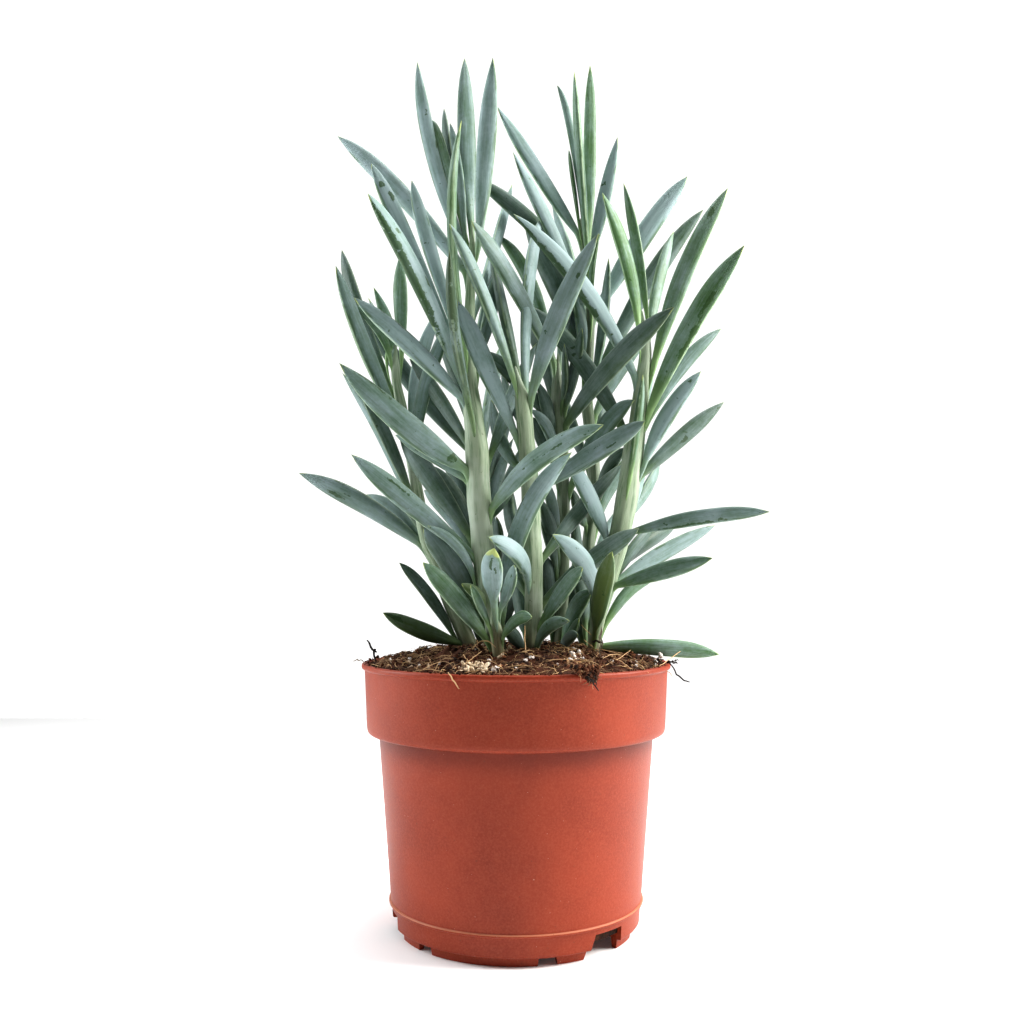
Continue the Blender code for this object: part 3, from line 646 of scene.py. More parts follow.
def leaf_surface(stem, row, stations, sides, marks=(), shape=BLADE, tip_from=0.95):
    """A ridge down the stem and a parabola from the stem's side through the middle to the tip.

    A point is the path's place, plus cos(angle) of the half width along the blade's flat direction,
    plus the 1.1th power of sin(angle) of the half thickness across it.
    """
    height, middle, tip, depth, width, turn, tone = row
    root, axis, radius, root_depth = stem_at(stem, height)
    half = placed(*middle, root_depth + 0.55 * (depth - root_depth))
    end = placed(*tip, depth)
    out = unit((half - root) - np.dot(half - root, axis) * axis)
    lean = np.dot(unit(half - root), axis)
    base_half = 0.5 * BASE_WIDTH * width
    start = root + out * (radius + 0.36 + base_half * lean)
    control = 2.0 * half - 0.5 * (start + end)
    leaving = unit(control - start)
    # The ridge follows the stem, then turns into the leaf's own first direction.
    length = RNG.uniform(12.0, 19.0)
    low_root, _, low_radius, _ = stem_at(stem, height - length)
    low = low_root + out * low_radius * 0.72
    reach = (radius * 0.35 + 0.36 + base_half * lean) / max(np.dot(leaving, out), 0.25)
    bend = start - leaving * min(reach, 6.0)
    s = np.linspace(0.0, 1.0, 11)[:-1, None]
    ridge = low * (1 - s) ** 2 + bend * 2 * s * (1 - s) + start * s**2
    ridge_way = unit((bend - low) * (1 - s) + (start - bend) * s)
    t = 1.0 - (1.0 - np.linspace(0.0, 1.0, stations + 1)[:-1]) ** 1.25
    u = t[:, None]
    blade = start * (1 - u) ** 2 + control * 2 * u * (1 - u) + end * u**2
    blade_way = unit((control - start) * (1 - u) + (end - control) * u)
    path = np.vstack((ridge, blade))
    way = unit(np.vstack((ridge_way, blade_way)))
    t = np.concatenate((s[:, 0] - 1.0, t))
    # A slow sideways wave keeps the leaves from looking machined.
    across = unit(np.cross(axis, end - start))
    phase = RNG.uniform(0.0, 6.28, 3)
    wave = 0.035 * width * np.sin(5.0 * t + phase[0]) * np.clip(t, 0.0, 1.0)
    path = path + across * wave[:, None]
    side = unit(across - np.sum(way * across, axis=1)[:, None] * way)
    twist = np.radians(turn * soft_step(t / 0.3) + 7.0 * np.sin(3.0 * t + phase[1]) * soft_step(t / 0.3))
    flat = np.cross(way, side)
    side, flat = (
        side * np.cos(twist)[:, None] + flat * np.sin(twist)[:, None],
        flat * np.cos(twist)[:, None] - side * np.sin(twist)[:, None],
    )
    wide, thick = swell(np.clip(t, 0.0, 1.0), shape)
    shrink = np.where(t < 0.0, soft_step(t + 1.0) * 0.9 + 0.1, 1.0)
    wide = 0.5 * width * wide * shrink * (1.0 + 0.03 * np.sin(9.0 * t + phase[2]))
    thick = 0.5 * width * THICKNESS * thick * shrink
    angle = np.linspace(0.0, 2.0 * np.pi, sides, endpoint=False)
    lens = np.sign(np.sin(angle)) * np.abs(np.sin(angle)) ** 1.1
    # Each face is a little hollow beside its middle line, more so near the stem.
    hollow = 1.0 - 0.10 * np.exp(-((np.cos(angle) / 0.35) ** 2))
    grid = (
        path[:, None, :]
        + flat[:, None, :] * (wide[:, None] * np.cos(angle))[:, :, None]
        + side[:, None, :] * (thick[:, None] * lens * hollow)[:, :, None]
    )
    start_pole = low - way[0] * 1.2
    points, quads, fans = closed_tube(grid * MM, start_pole * MM, end * MM)
    walked = np.concatenate(((0.0,), np.cumsum(np.linalg.norm(np.diff(path, axis=0), axis=1))))
    walked = walked - walked[len(s)]
    bloom, shade, warm = TONES[tone]
    bloom = bloom + RNG.uniform(-0.08, 0.08)
    shade = shade * RNG.uniform(0.94, 1.06)

    def spread_out(values, first, last):
        """One number per ring, repeated round it, with a number for each pole."""
        return np.concatenate((np.repeat(values, sides), (first, last)))

    numbers = {
        "along": spread_out(t, -1.0, 1.0),
        "across": np.concatenate((np.tile(np.cos(angle), len(t)), (0.0, 0.0))),
        "over": np.concatenate((np.outer(wide, np.cos(angle)).ravel(), (0.0, 0.0))),
        "walked": spread_out(walked, walked[0] - 1.0, walked[-1] + 0.5),
        "bloom": np.full(len(points), bloom),
        "shade": np.full(len(points), shade),
        "seed": np.full(len(points), RNG.uniform(0.0, 40.0)),
        "warm": np.full(len(points), warm),
        "tip_from": np.full(len(points), tip_from),
    }
    spots = np.zeros(len(points))
    for at, beside, half_length, half_width in marks:
        far = ((numbers["along"] - at) / half_length) ** 4 + ((numbers["across"] - beside) / half_width) ** 4
        spots = np.maximum(spots, np.exp(-far))
    numbers["mark"] = spots
    return points, quads, fans, numbers


# %% [markdown]
# ## Leaf finish
# The green of the leaf lies under a pale blue bloom of wax. The bloom is patchy and thinner near the
# stem, the edges turn dark green in streaks, and fine lines run lengthwise through the wax. The finish
# mixes the two colours by the stored bloom, by soft noise and by noise that is stretched along the leaf.

# %% Leaf finish
def leaf_finish(name):
    """The leaf's green under its wax, dark green streaks along its edges, a pale line on them that is partly the
    leaf's own margin and partly painted highlight, and a yellowish tip.
    """
    material, tree, shader = finish(
        name, Specular_IOR_Level=0.28, Sheen_Weight=0.15, Sheen_Roughness=0.5,
        Sheen_Tint=(0.85, 0.93, 0.95, 1.0),
    )
    along, across = attribute(tree, "along"), attribute(tree, "across")
    over, walked = attribute(tree, "over"), attribute(tree, "walked")
    seed = attribute(tree, "seed")
    lines_at = vector(tree, calc(tree, "MULTIPLY", over, 1.5), calc(tree, "MULTIPLY", walked, 0.07), seed)
    lines = noise(tree, lines_at, 1.6, 3.0, 0.6)
    streaks_at = vector(tree, calc(tree, "MULTIPLY", over, 0.5), calc(tree, "MULTIPLY", walked, 0.05), seed)
    streaks = noise(tree, streaks_at, 1.3, 3.0, 0.6)
    patches = noise(tree, place(tree), 90.0, 3.0, 0.5)
    fine = noise(tree, place(tree), 700.0, 3.0, 0.6)
    # Wax from the stored bloom, the patches, the streaks and the lines, less of it near the stem.
    wax = calc(tree, "MULTIPLY_ADD", patches, 0.9, -0.45)
    wax = calc(tree, "ADD", wax, calc(tree, "MULTIPLY_ADD", streaks, 0.9, -0.45))
    wax = calc(tree, "ADD", wax, calc(tree, "MULTIPLY_ADD", lines, 0.7, -0.35))
    wax = calc(tree, "ADD", wax, calc(tree, "MULTIPLY_ADD", fine, 0.5, -0.25))
    wax = calc(tree, "ADD", wax, attribute(tree, "bloom"))
    near_stem = calc(tree, "SUBTRACT", 1.0, rise(tree, along, -0.10, 0.25))
    wax = calc(tree, "MULTIPLY_ADD", near_stem, -0.50, wax)
    wax = add(tree, "ShaderNodeClamp", {0: wax})
    green = mix(tree, near_stem, (0.055, 0.115, 0.050, 1.0), (0.17, 0.27, 0.12, 1.0))
    bloom = mix(tree, patches, (0.168, 0.258, 0.238, 1.0), (0.300, 0.378, 0.398, 1.0))
    colour = mix(tree, wax, green, bloom)
    colour = mix(tree, attribute(tree, "warm"), colour, (0.090, 0.120, 0.024, 1.0))
    # Dark green streaks on the blade: along the outer edge, and here and there along the inner one.
    blade = rise(tree, along, 0.03, 0.18)
    outer = rise(tree, calc(tree, "MULTIPLY", across, -1.0), 0.55, 0.88)
    inner = rise(tree, across, 0.60, 0.88)
    dark_edge_streaks = calc(tree, "MULTIPLY", outer, rise(tree, streaks, 0.44, 0.56))
    dark_edge_streaks = calc(tree, "MAXIMUM", dark_edge_streaks, calc(tree, "MULTIPLY", inner, rise(tree, streaks, 0.58, 0.66)))
    dark_edge_streaks = calc(tree, "MULTIPLY", calc(tree, "MULTIPLY", dark_edge_streaks, blade), 0.8)
    colour = mix(tree, dark_edge_streaks, colour, (0.045, 0.095, 0.030, 1.0))
    # A pale line along both edges: partly the leaf's own pale margin, partly a painted highlight.
    rim = calc(tree, "MULTIPLY", rise(tree, calc(tree, "ABSOLUTE", across), 0.94, 0.99), blade)
    rim = calc(tree, "MULTIPLY", rim, rise(tree, lines, 0.25, 0.55))
    colour = mix(tree, calc(tree, "MULTIPLY", rim, 0.55), colour, (0.40, 0.52, 0.34, 1.0))
    edge = calc(tree, "ABSOLUTE", across)
    past_tip = calc(tree, "SUBTRACT", along, attribute(tree, "tip_from"))
    past_tip = calc(tree, "ADD", past_tip, calc(tree, "MULTIPLY_ADD", edge, 0.08, -0.05))
    colour = mix(tree, calc(tree, "MULTIPLY", rise(tree, past_tip, 0.0, 0.05), 0.8), colour,
                 (0.34, 0.40, 0.11, 1.0))
    scars = rise(tree, noise(tree, place(tree), 330.0, 3.0, 0.6), 0.68, 0.73)
    blotch = noise(tree, place(tree), 420.0, 4.0, 0.7)
    mark = calc(tree, "ADD", attribute(tree, "mark"), calc(tree, "MULTIPLY_ADD", blotch, 2.8, -1.4))
    scars = calc(tree, "MAXIMUM", scars, rise(tree, mark, 0.50, 0.72))
    colour = mix(tree, calc(tree, "MULTIPLY", scars, 0.85), colour, (0.030, 0.070, 0.018, 1.0))
    # The tone's brightness scales the colour: partly the leaf's own tone, partly painted light and shade.
    shade = attribute(tree, "shade")
    colour = add(tree, "ShaderNodeVectorMath", {0: colour, 3: shade}, operation="SCALE")
    tree.links.new(colour, shader.inputs["Base Color"])
    relief = calc(tree, "MULTIPLY_ADD", streaks, 0.6, calc(tree, "MULTIPLY", patches, 0.4))
    tree.links.new(bump(tree, relief, 0.0006, 0.5), shader.inputs["Normal"])
    tree.links.new(calc(tree, "MULTIPLY_ADD", wax, 0.14, 0.44), shader.inputs["Roughness"])
    return material


LEAF = leaf_finish("leaf_wax")
offsets = []
for stem, rows in LEAVES.items():
    for number, row in enumerate(rows, 1):
        node = f"leaf_{stem}_{number:02d}"
        form = (SPADE, 0.80) if stem == "shoot" else (BLADE, 0.95)
        surface = leaf_surface(stem, row, 54, 28, MARKS.get(node, ()), *form)
        piece = make_piece(f"{node}_blade", surface, LEAF)
        offsets.append(stand_for(piece, node))
print("large leaves made, furthest box corner off by", round(max(offsets), 2), "mm")

# %% Small leaves
for stem, rows in SMALL_LEAVES.items():
    surface = join_surfaces([leaf_surface(stem, row, 34, 16) for row in rows])
    piece = make_piece(f"small_leaves_{stem}", surface, LEAF)
    print(piece.name, len(surface[1]) * 2 + len(surface[2]), "triangles")

# %% [markdown]
# ## Stems
# A stem is round with a few shallow ribs where the bases of its leaves run down it, and it thins
# towards the top. The surface's parameters are the place along the route and the angle round it.

# %% Stem shape
# Painted shade: the stems behind are darkened.
PAINTED_STEM_SHADE = {"middle": 0.62, "back": 0.60, "far": 0.60}


def stem_surface(name):
    """The route, plus the radius times 1 + small sines of 3 and 7 turns that drift with height."""
    sides = 36
    route = ROUTES[name]
    count = int(route[-1, 1] - route[0, 1])
    route = smooth_route(STEMS[name], count)
    path = placed(*route[:, :3].T)
    way = unit(np.gradient(path, axis=0))
    front = np.array((0.0, -1.0, 0.0))
    side = unit(np.cross(way, front))
    forward = np.cross(side, way)
    angle = np.linspace(0.0, 2.0 * np.pi, sides, endpoint=False)
    height = route[:, 1]
    phase = RNG.uniform(0.0, 6.28, 3)
    ribs = (
        1.0
        + 0.045 * np.sin(3 * angle + phase[0] + 0.03 * height[:, None])
        + 0.025 * np.sin(7 * angle + phase[1] - 0.02 * height[:, None])
        + 0.03 * np.sin(0.33 * height + phase[2])[:, None]
    )
    from_top = route[-1, 1] - height
    thinned = 0.30 + 0.70 * soft_step(from_top / 13.0)
    rounded = np.sqrt(1.0 - np.clip(1.0 - from_top / 1.5, 0.0, 0.97) ** 2)
    radius = (route[:, 3] * thinned * rounded)[:, None] * ribs
    grid = path[:, None, :] + radius[:, :, None] * (
        side[:, None, :] * np.cos(angle)[:, None] + forward[:, None, :] * np.sin(angle)[:, None]
    )
    points, quads, fans = closed_tube(grid * MM, path[0] * MM, (path[-1] + way[-1] * 0.1) * MM)
    poles = (0.0, 0.0)
    numbers = {
        "around": np.concatenate((np.tile(np.cos(angle), count), poles)),
        "around_too": np.concatenate((np.tile(np.sin(angle), count), poles)),
        "height": np.concatenate((np.repeat(height, sides), (height[0], height[-1]))),
        "seed": np.full(len(points), RNG.uniform(0.0, 40.0)),
        "shade": np.full(len(points), PAINTED_STEM_SHADE.get(name, 1.0)),
    }
    return points, quads, fans, numbers


# %% [markdown]
# The stem's skin is pale whitish green with darker green lines that run up it, and it turns brown
# and corky just above the soil.

# %% Stem finish
def stem_finish(name):
    """Pale green skin, lines of darker green from noise that is stretched upwards, a brown foot."""
    material, tree, shader = finish(name, Specular_IOR_Level=0.3)
    height, seed = attribute(tree, "height"), attribute(tree, "seed")
    round_at = vector(
        tree,
        calc(tree, "MULTIPLY_ADD", attribute(tree, "around"), 2.2, seed),
        calc(tree, "MULTIPLY", attribute(tree, "around_too"), 2.2),
        calc(tree, "MULTIPLY", height, 0.045),
    )
    lines = noise(tree, round_at, 1.6, 5.0, 0.62)
    patches = noise(tree, place(tree), 60.0, 3.0, 0.5)
    colour = mix(tree, rise(tree, lines, 0.30, 0.56), (0.120, 0.195, 0.105, 1.0), (0.295, 0.365, 0.250, 1.0))
    colour = mix(tree, rise(tree, patches, 0.45, 0.80), colour, (0.40, 0.46, 0.37, 1.0))
    low = calc(tree, "ADD", height, calc(tree, "MULTIPLY", patches, 14.0))
    foot = calc(tree, "SUBTRACT", 1.0, rise(tree, low, 113.0, 128.0))
    colour = mix(tree, calc(tree, "MULTIPLY", foot, 0.7), colour, (0.20, 0.15, 0.075, 1.0))
    scars = rise(tree, noise(tree, place(tree), 500.0, 2.0, 0.5), 0.70, 0.77)
    colour = mix(tree, calc(tree, "MULTIPLY", scars, 0.5), colour, (0.09, 0.11, 0.04, 1.0))
    # Painted shade: the stems behind are darkened by their stored shade.
    colour = add(tree, "ShaderNodeVectorMath", {0: colour, 3: attribute(tree, "shade")}, operation="SCALE")
    tree.links.new(colour, shader.inputs["Base Color"])
    relief = calc(tree, "MULTIPLY_ADD", lines, 0.7, calc(tree, "MULTIPLY", patches, 0.3))
    tree.links.new(bump(tree, relief, 0.0006, 0.6), shader.inputs["Normal"])
    tree.links.new(calc(tree, "MULTIPLY_ADD", lines, 0.2, 0.42), shader.inputs["Roughness"])
    return material


STEM = stem_finish("stem_skin")
offsets = []
for stem in STEMS:
    piece = make_piece(f"stem_{stem}_skin", stem_surface(stem), STEM)
    offsets.append(stand_for(piece, f"stem_{stem}"))
print("stems made, furthest box corner off by", round(max(offsets), 2), "mm")

# %% [markdown]
# ## Pot
# The pot is thin moulded plastic. Its section is one closed line, turned round the upright axis, and
# every corner of the line is rounded first, because a moulded edge always catches a thin highlight.

# %% Pot section
POT_HEIGHT = 103.0
LIP_RADIUS = 60.0
BAND_FOOT = 76.4
BODY_FOOT = 11.6
SKIRT_FOOT = 3.6
# Each row is a radius, a height and how far the corner is rounded.
POT_SECTION = (
    (56.5, 78.2, 0.3), (57.4, 102.4, 0.6), (57.7, POT_HEIGHT, 0.5), (LIP_RADIUS, POT_HEIGHT, 0.9),
    (LIP_RADIUS, 101.1, 0.8), (58.85, 101.0, 0.5), (57.9, BAND_FOOT + 0.6, 2.2),
    (56.6, BAND_FOOT - 0.1, 0.7), (53.4, BAND_FOOT + 0.3, 0.5), (48.75, BODY_FOOT + 0.6, 0.15),
    (49.5, BODY_FOOT + 0.45, 0.35), (49.5, BODY_FOOT - 0.35, 0.35), (48.4, BODY_FOOT - 0.7, 0.3),
    (48.0, SKIRT_FOOT, 0.6), (46.0, SKIRT_FOOT - 0.2, 0.3), (45.7, 0.0, 0.4), (43.5, 0.0, 0.4),
    (43.2, SKIRT_FOOT, 0.3), (10.0, SKIRT_FOOT, 1.0), (10.0, 5.4, 1.0), (46.2, 5.4, 1.5),
    (52.1, 77.6, 0.4), (56.3, 77.8, 0.3),
)


def rounded_section(rows, steps=6):
    """Each corner becomes a short parabola between two points that lie its rounding away from it."""
    knots = np.array(rows)
    corner, amount = knots[:, :2], knots[:, 2:]
    before, after = np.roll(corner, 1, axis=0), np.roll(corner, -1, axis=0)
    into = np.linalg.norm(before - corner, axis=1, keepdims=True)
    out = np.linalg.norm(after - corner, axis=1, keepdims=True)
    first = corner + (before - corner) * np.minimum(amount / into, 0.45)
    last = corner + (after - corner) * np.minimum(amount / out, 0.45)
    t = np.linspace(0.0, 1.0, steps)[None, :, None]
    arcs = first[:, None] * (1 - t) ** 2 + corner[:, None] * 2 * t * (1 - t) + last[:, None] * t**2
    return arcs.reshape(-1, 2)


def turned_surface(section, turns):
    """A closed section turned round the axis: x = r sin(angle), y = -r cos(angle), z = height."""
    angle = np.linspace(0.0, 2.0 * np.pi, turns, endpoint=False)[None, :]
    radius, height = section[:, :1], section[:, 1:]
    grid = np.stack(
        (radius * np.sin(angle), -radius * np.cos(angle), np.broadcast_to(height, (len(section), turns))),
        axis=-1,
    )
    row, turn = (index.ravel() for index in np.indices((len(section), turns)))
    next_row, next_turn = (row + 1) % len(section), (turn + 1) % turns
    quads = np.stack(
        (row * turns + turn, next_row * turns + turn, next_row * turns + next_turn, row * turns + next_turn),
        axis=1,
    )
    return grid.reshape(-1, 3), quads


# %% [markdown]
# Three drain notches are cut up into the skirt and six gaps into the foot ring. Each cutter is a
# wedge below the foot. The Boolean is applied at once and the cutters are thrown away.

# %% Pot shell
def wedge(name, angle, width, height, left, right, inner, outer):
    """A block below the foot, as wide as width at the floor and narrower above, turned to an angle."""
    shape = np.array([(x, y, z) for x in (-0.5, 0.5) for y in (0, 1) for z in (0, 1)], dtype=float)
    top = shape[:, 2] > 0.5
    side = np.where(shape[:, 0] < 0.0, left, right)
    x = width * shape[:, 0] * np.where(top, side, 1.0)
    y = -np.where(shape[:, 1] > 0.5, outer, inner)
    z = np.where(top, height, -2.0)
    turn = math.radians(angle)
    points = np.stack((x * math.cos(turn) - y * math.sin(turn), x * math.sin(turn) + y * math.cos(turn), z), 1)
    mesh = bpy.data.meshes.new(name)
    faces = ((0, 1, 3, 2), (4, 6, 7, 5), (0, 4, 5, 1), (2, 3, 7, 6), (0, 2, 6, 4), (1, 5, 7, 3))
    mesh.from_pydata((points * MM).tolist(), [], faces)
    block = bpy.data.objects.new(name, mesh)
    bm = bmesh.new()
    bm.from_mesh(mesh)
    bmesh.ops.recalc_face_normals(bm, faces=bm.faces)
    bm.to_mesh(mesh)
    bm.free()
    scene.collection.objects.link(block)
    return block


def cut_all(thing, blocks):
    """Takes the blocks out of a piece, keeps the result as its mesh and removes the blocks."""
    for block in blocks:
        cut = thing.modifiers.new(block.name, "BOOLEAN")
        cut.solver = "EXACT"
        cut.object = block
    evaluated = thing.evaluated_get(bpy.context.evaluated_depsgraph_get())
    mesh = bpy.data.meshes.new_from_object(evaluated)
    thing.modifiers.clear()
    thing.data = mesh
    for block in blocks:
        bpy.data.objects.remove(block, do_unlink=True)


def pot_finish(name):
    """Terracotta-coloured plastic: slow mottling, pale dust specks, faint scuffs, a soft gloss, a painted shadow
    under the band and a painted highlight on the bead.
    """
    material, tree, shader = finish(name, Specular_IOR_Level=0.25)
    mottle = noise(tree, place(tree), 28.0, 4.0, 0.6)
    grain = noise(tree, place(tree), 1300.0, 4.0, 0.7)
    colour = mix(tree, rise(tree, mottle, 0.30, 0.70), (0.218, 0.029, 0.0105, 1.0), (0.284, 0.042, 0.016, 1.0))
    colour = mix(tree, calc(tree, "MULTIPLY", rise(tree, grain, 0.35, 0.75), 0.30), colour, (0.46, 0.11, 0.055, 1.0))
    # Painted shadow: the body just under the band is darkened, where the band's shade falls.
    height = add(tree, "ShaderNodeSeparateXYZ", {0: place(tree)}, 2)
    painted_crease_shadow = calc(tree, "MULTIPLY", rise(tree, height, 0.062, 0.075),
                  calc(tree, "SUBTRACT", 1.0, rise(tree, height, 0.0755, 0.0762)))
    colour = mix(tree, calc(tree, "MULTIPLY", calc(tree, "POWER", painted_crease_shadow, 1.8), 0.50), colour, (0.07, 0.008, 0.004, 1.0))
    # Painted highlight: the bead above the foot is coloured pale.
    painted_bead_highlight = calc(tree, "SUBTRACT", rise(tree, height, 0.0117, 0.0120), rise(tree, height, 0.0121, 0.0124))
    colour = mix(tree, calc(tree, "MULTIPLY", painted_bead_highlight, 0.55), colour, (0.66, 0.30, 0.18, 1.0))
    dust = rise(tree, noise(tree, place(tree), 1500.0, 1.0, 0.4), 0.79, 0.83)
    colour = mix(tree, calc(tree, "MULTIPLY", dust, 0.4), colour, (0.75, 0.50, 0.38, 1.0))
    dirt = rise(tree, noise(tree, place(tree), 1200.0, 1.0, 0.4), 0.74, 0.80)
    colour = mix(tree, calc(tree, "MULTIPLY", dirt, 0.5), colour, (0.12, 0.04, 0.02, 1.0))
    tree.links.new(colour, shader.inputs["Base Color"])
    tree.links.new(bump(tree, grain, 0.00012, 0.5), shader.inputs["Normal"])
    tree.links.new(calc(tree, "MULTIPLY_ADD", mottle, 0.14, 0.36), shader.inputs["Roughness"])
    return material


POT = pot_finish("terracotta_plastic")
points, quads = turned_surface(rounded_section(POT_SECTION), 288)
quads = quads[:, ::-1]
surface = (points * MM, quads, np.zeros((0, 3), dtype=int), {})
pot = make_piece("pot_shell", surface, POT)
blocks = [
    wedge(f"notch_{number}", angle, 18.0, 9.0, 0.56, 1.0, 40.2, 51.0)
    for number, angle in enumerate((42.0, 162.0, 282.0))
] + [
    wedge(f"ring_gap_{number}", 14.0 + 60.0 * number, 8.0, 2.8, 0.8, 0.8, 41.2, 46.9)
    for number in range(6)
]
cut_all(pot, blocks)
pot.data.set_sharp_from_angle(angle=math.radians(38.0))
print("pot made, furthest box corner off by", round(stand_for(pot, "pot"), 2), "mm")

# %% [markdown]
# ## Soil
# The soil is a low mound of coarse peat. Its surface is a polar grid whose height is the mound's
# section plus noise at four sizes, the finest about as large as a crumb.

# %% Soil surface
TABLE = RNG.uniform(-1.0, 1.0, (64, 64))
MOUND_R = (0.0, 16.0, 30.0, 42.0, 51.0, 57.2, 60.0)
MOUND_Z = (109.4, 109.0, 107.8, 105.4, 103.2, 101.9, 101.0)


def value_noise(x, y, size, shift):
    """Random numbers on a square grid of that size in millimetres, blended with a soft step."""
    a, b = x / size + shift, y / size + 1.7 * shift
    i, j = np.floor(a).astype(int), np.floor(b).astype(int)
    u, v = soft_step(a - i), soft_step(b - j)
    corner = [TABLE[(i + di) % 64, (j + dj) % 64] for di in (0, 1) for dj in (0, 1)]
    return (corner[0] * (1 - v) + corner[1] * v) * (1 - u) + (corner[2] * (1 - v) + corner[3] * v) * u


def soil_height(x, y):
    """The mound's height at a place, plus noise of 12, 5, 2.4 and 1.2 mm, calmer at the rim."""
    radius = np.hypot(x, y)
    rough = (
        0.9 * value_noise(x, y, 12.0, 3.1)
        + 1.2 * value_noise(x, y, 5.0, 9.4)
        + 0.9 * value_noise(x, y, 2.4, 21.7)
        + 0.55 * value_noise(x, y, 1.2, 33.3)
    )
    return np.interp(radius, MOUND_R, MOUND_Z) + rough * np.clip((60.5 - radius) / 8.0, 0.25, 1.0)


def soil_surface(rows=110, turns=330):
    """Rings from the middle to the pot's wall at the noise height, then down the wall to a floor."""
    angle = np.linspace(0.0, 2.0 * np.pi, turns, endpoint=False)[None, :]
    radius = np.linspace(0.5, 57.0, rows)[:, None]
    x, y = radius * np.cos(angle), radius * np.sin(angle)
    top = np.stack((x, y, soil_height(x, y)), axis=-1)
    wall = [
        np.stack((r * np.cos(angle[0]), r * np.sin(angle[0]), np.full(turns, z)), axis=-1)
        for r, z in ((56.9, 98.0), (56.1, 78.6), (51.6, 78.2), (46.0, 5.9), (10.0, 5.7))
    ]
    grid = np.concatenate((top, np.array(wall)))
    middle = np.array((0.0, 0.0, top[0, :, 2].mean()))
    points, quads, fans = closed_tube(grid * MM, middle * MM, np.array((0.0, 0.0, 5.7)) * MM)
    tint = 0.35 + 0.35 * value_noise(points[:, 0] / MM, points[:, 1] / MM, 3.0, 5.5)
    numbers = {"tint": tint, "seed": np.zeros(len(points))}
    return points, quads, fans, numbers


def soil_finish(name):
    """Dark peat: each crumb's tint picks between near black, red brown and dusty tan."""
    material, tree, shader = finish(name, Roughness=0.92, Specular_IOR_Level=0.25)
    tint = attribute(tree, "tint")
    fine = noise(tree, place(tree), 900.0, 4.0, 0.65)
    coarse = noise(tree, place(tree), 240.0, 3.0, 0.6)
    level = calc(tree, "ADD", tint, calc(tree, "MULTIPLY_ADD", fine, 0.9, -0.45))
    level = calc(tree, "ADD", level, calc(tree, "MULTIPLY_ADD", coarse, 0.6, -0.30))
    colour = mix(tree, rise(tree, level, 0.05, 0.55), (0.015, 0.007, 0.004, 1.0), (0.092, 0.034, 0.017, 1.0))
    colour = mix(tree, rise(tree, level, 0.68, 1.10), colour, (0.36, 0.17, 0.080, 1.0))
    tree.links.new(colour, shader.inputs["Base Color"])
    tree.links.new(bump(tree, fine, 0.0008, 0.8), shader.inputs["Normal"])
    return material


SOIL = soil_finish("peat")
soil = make_piece("soil_surface", soil_surface(), SOIL)
print("soil made, furthest box corner off by", round(stand_for(soil, "soil"), 2), "mm")

# %% [markdown]
# ## Litter on the soil
# Crumbs, perlite and chips are all small closed blobs: rings of seven points whose distances from
# the middle are jittered, then stretched and turned at random. All blobs of a kind are one piece.

# %% Crumbs
def random_turns(count):
    """Rotation matrices from random unit quaternions, all directions equally likely."""
    w, x, y, z = unit(RNG.normal(size=(count, 4))).T
    return np.stack(
        (
            1 - 2 * (y * y + z * z), 2 * (x * y - w * z), 2 * (x * z + w * y),
            2 * (x * y + w * z), 1 - 2 * (x * x + z * z), 2 * (y * z - w * x),
            2 * (x * z - w * y), 2 * (y * z + w * x), 1 - 2 * (x * x + y * y),
        ),
        axis=-1,
    ).reshape(count, 3, 3)


def blobs(centres, sizes, jitter, rings=4, sides=7, boxy=1.0):
    """Sphere points at latitude and longitude, jittered, stretched by sizes and turned at random.

    Powers of the sines and cosines below 1 push the shape from a ball towards a block.
    """
    count = len(centres)
    latitude = np.linspace(0.0, np.pi, rings + 2)[1:-1, None]
    longitude = np.linspace(0.0, 2.0 * np.pi, sides, endpoint=False)[None, :]

    def power(value):
        return np.sign(value) * np.abs(value) ** boxy

    shape = np.stack(
        (
            power(np.sin(latitude)) * power(np.cos(longitude)),
            power(np.sin(latitude)) * power(np.sin(longitude)),
            np.broadcast_to(power(np.cos(latitude)), (rings, sides)),
        ),
        axis=-1,
    ).reshape(-1, 3)
    shape = np.vstack((shape, (0.0, 0.0, 1.0), (0.0, 0.0, -1.0)))
    shaken = shape[None] * RNG.uniform(1.0 - jitter, 1.0 + jitter, (count, len(shape), 1))
    points = np.einsum("nij,nkj->nki", random_turns(count), shaken * sizes[:, None, :])
    points = points + centres[:, None, :]
    quads, fans = tube_faces(rings, sides)
    start = (np.arange(count) * len(shape))[:, None, None]
    quads = (quads[None] + start).reshape(-1, 4)
    fans = (fans[None] + start).reshape(-1, 3)
    return points.reshape(-1, 3) * MM, quads, fans, len(shape)


def scatter(count, reach, power=0.5):
    """Random places on the soil within a radius, as x, y and the height of the soil there."""
    radius = reach * RNG.uniform(0.0, 1.0, count) ** power
    angle = RNG.uniform(0.0, 2.0 * np.pi, count)
    x, y = radius * np.cos(angle), radius * np.sin(angle)
    return np.stack((x, y, soil_height(x, y)), axis=1)


def blob_surface(centres, sizes, tints, jitter, **shape):
    """Blobs with a tint and a seed for each."""
    points, quads, fans, each = blobs(centres, sizes, jitter, **shape)
    seeds = RNG.uniform(0.0, 40.0, len(centres))
    return points, quads, fans, {"tint": np.repeat(tints, each), "seed": np.repeat(seeds, each)}


LUMPS, PER_LUMP, LOOSE = 560, 7, 1500
radius = np.minimum(np.exp(RNG.normal(-0.42, 0.36, LUMPS)), 1.35)
lumps = scatter(LUMPS, 57.5) + np.array((0.0, 0.0, 0.35)) * radius[:, None]
lump_tints = RNG.uniform(0.0, 0.8, LUMPS)
sizes = radius[:, None] * RNG.uniform(0.6, 1.1, (LUMPS, 3))
make_piece("peat_lumps", blob_surface(lumps, sizes, lump_tints, 0.36, rings=5, sides=8), SOIL)
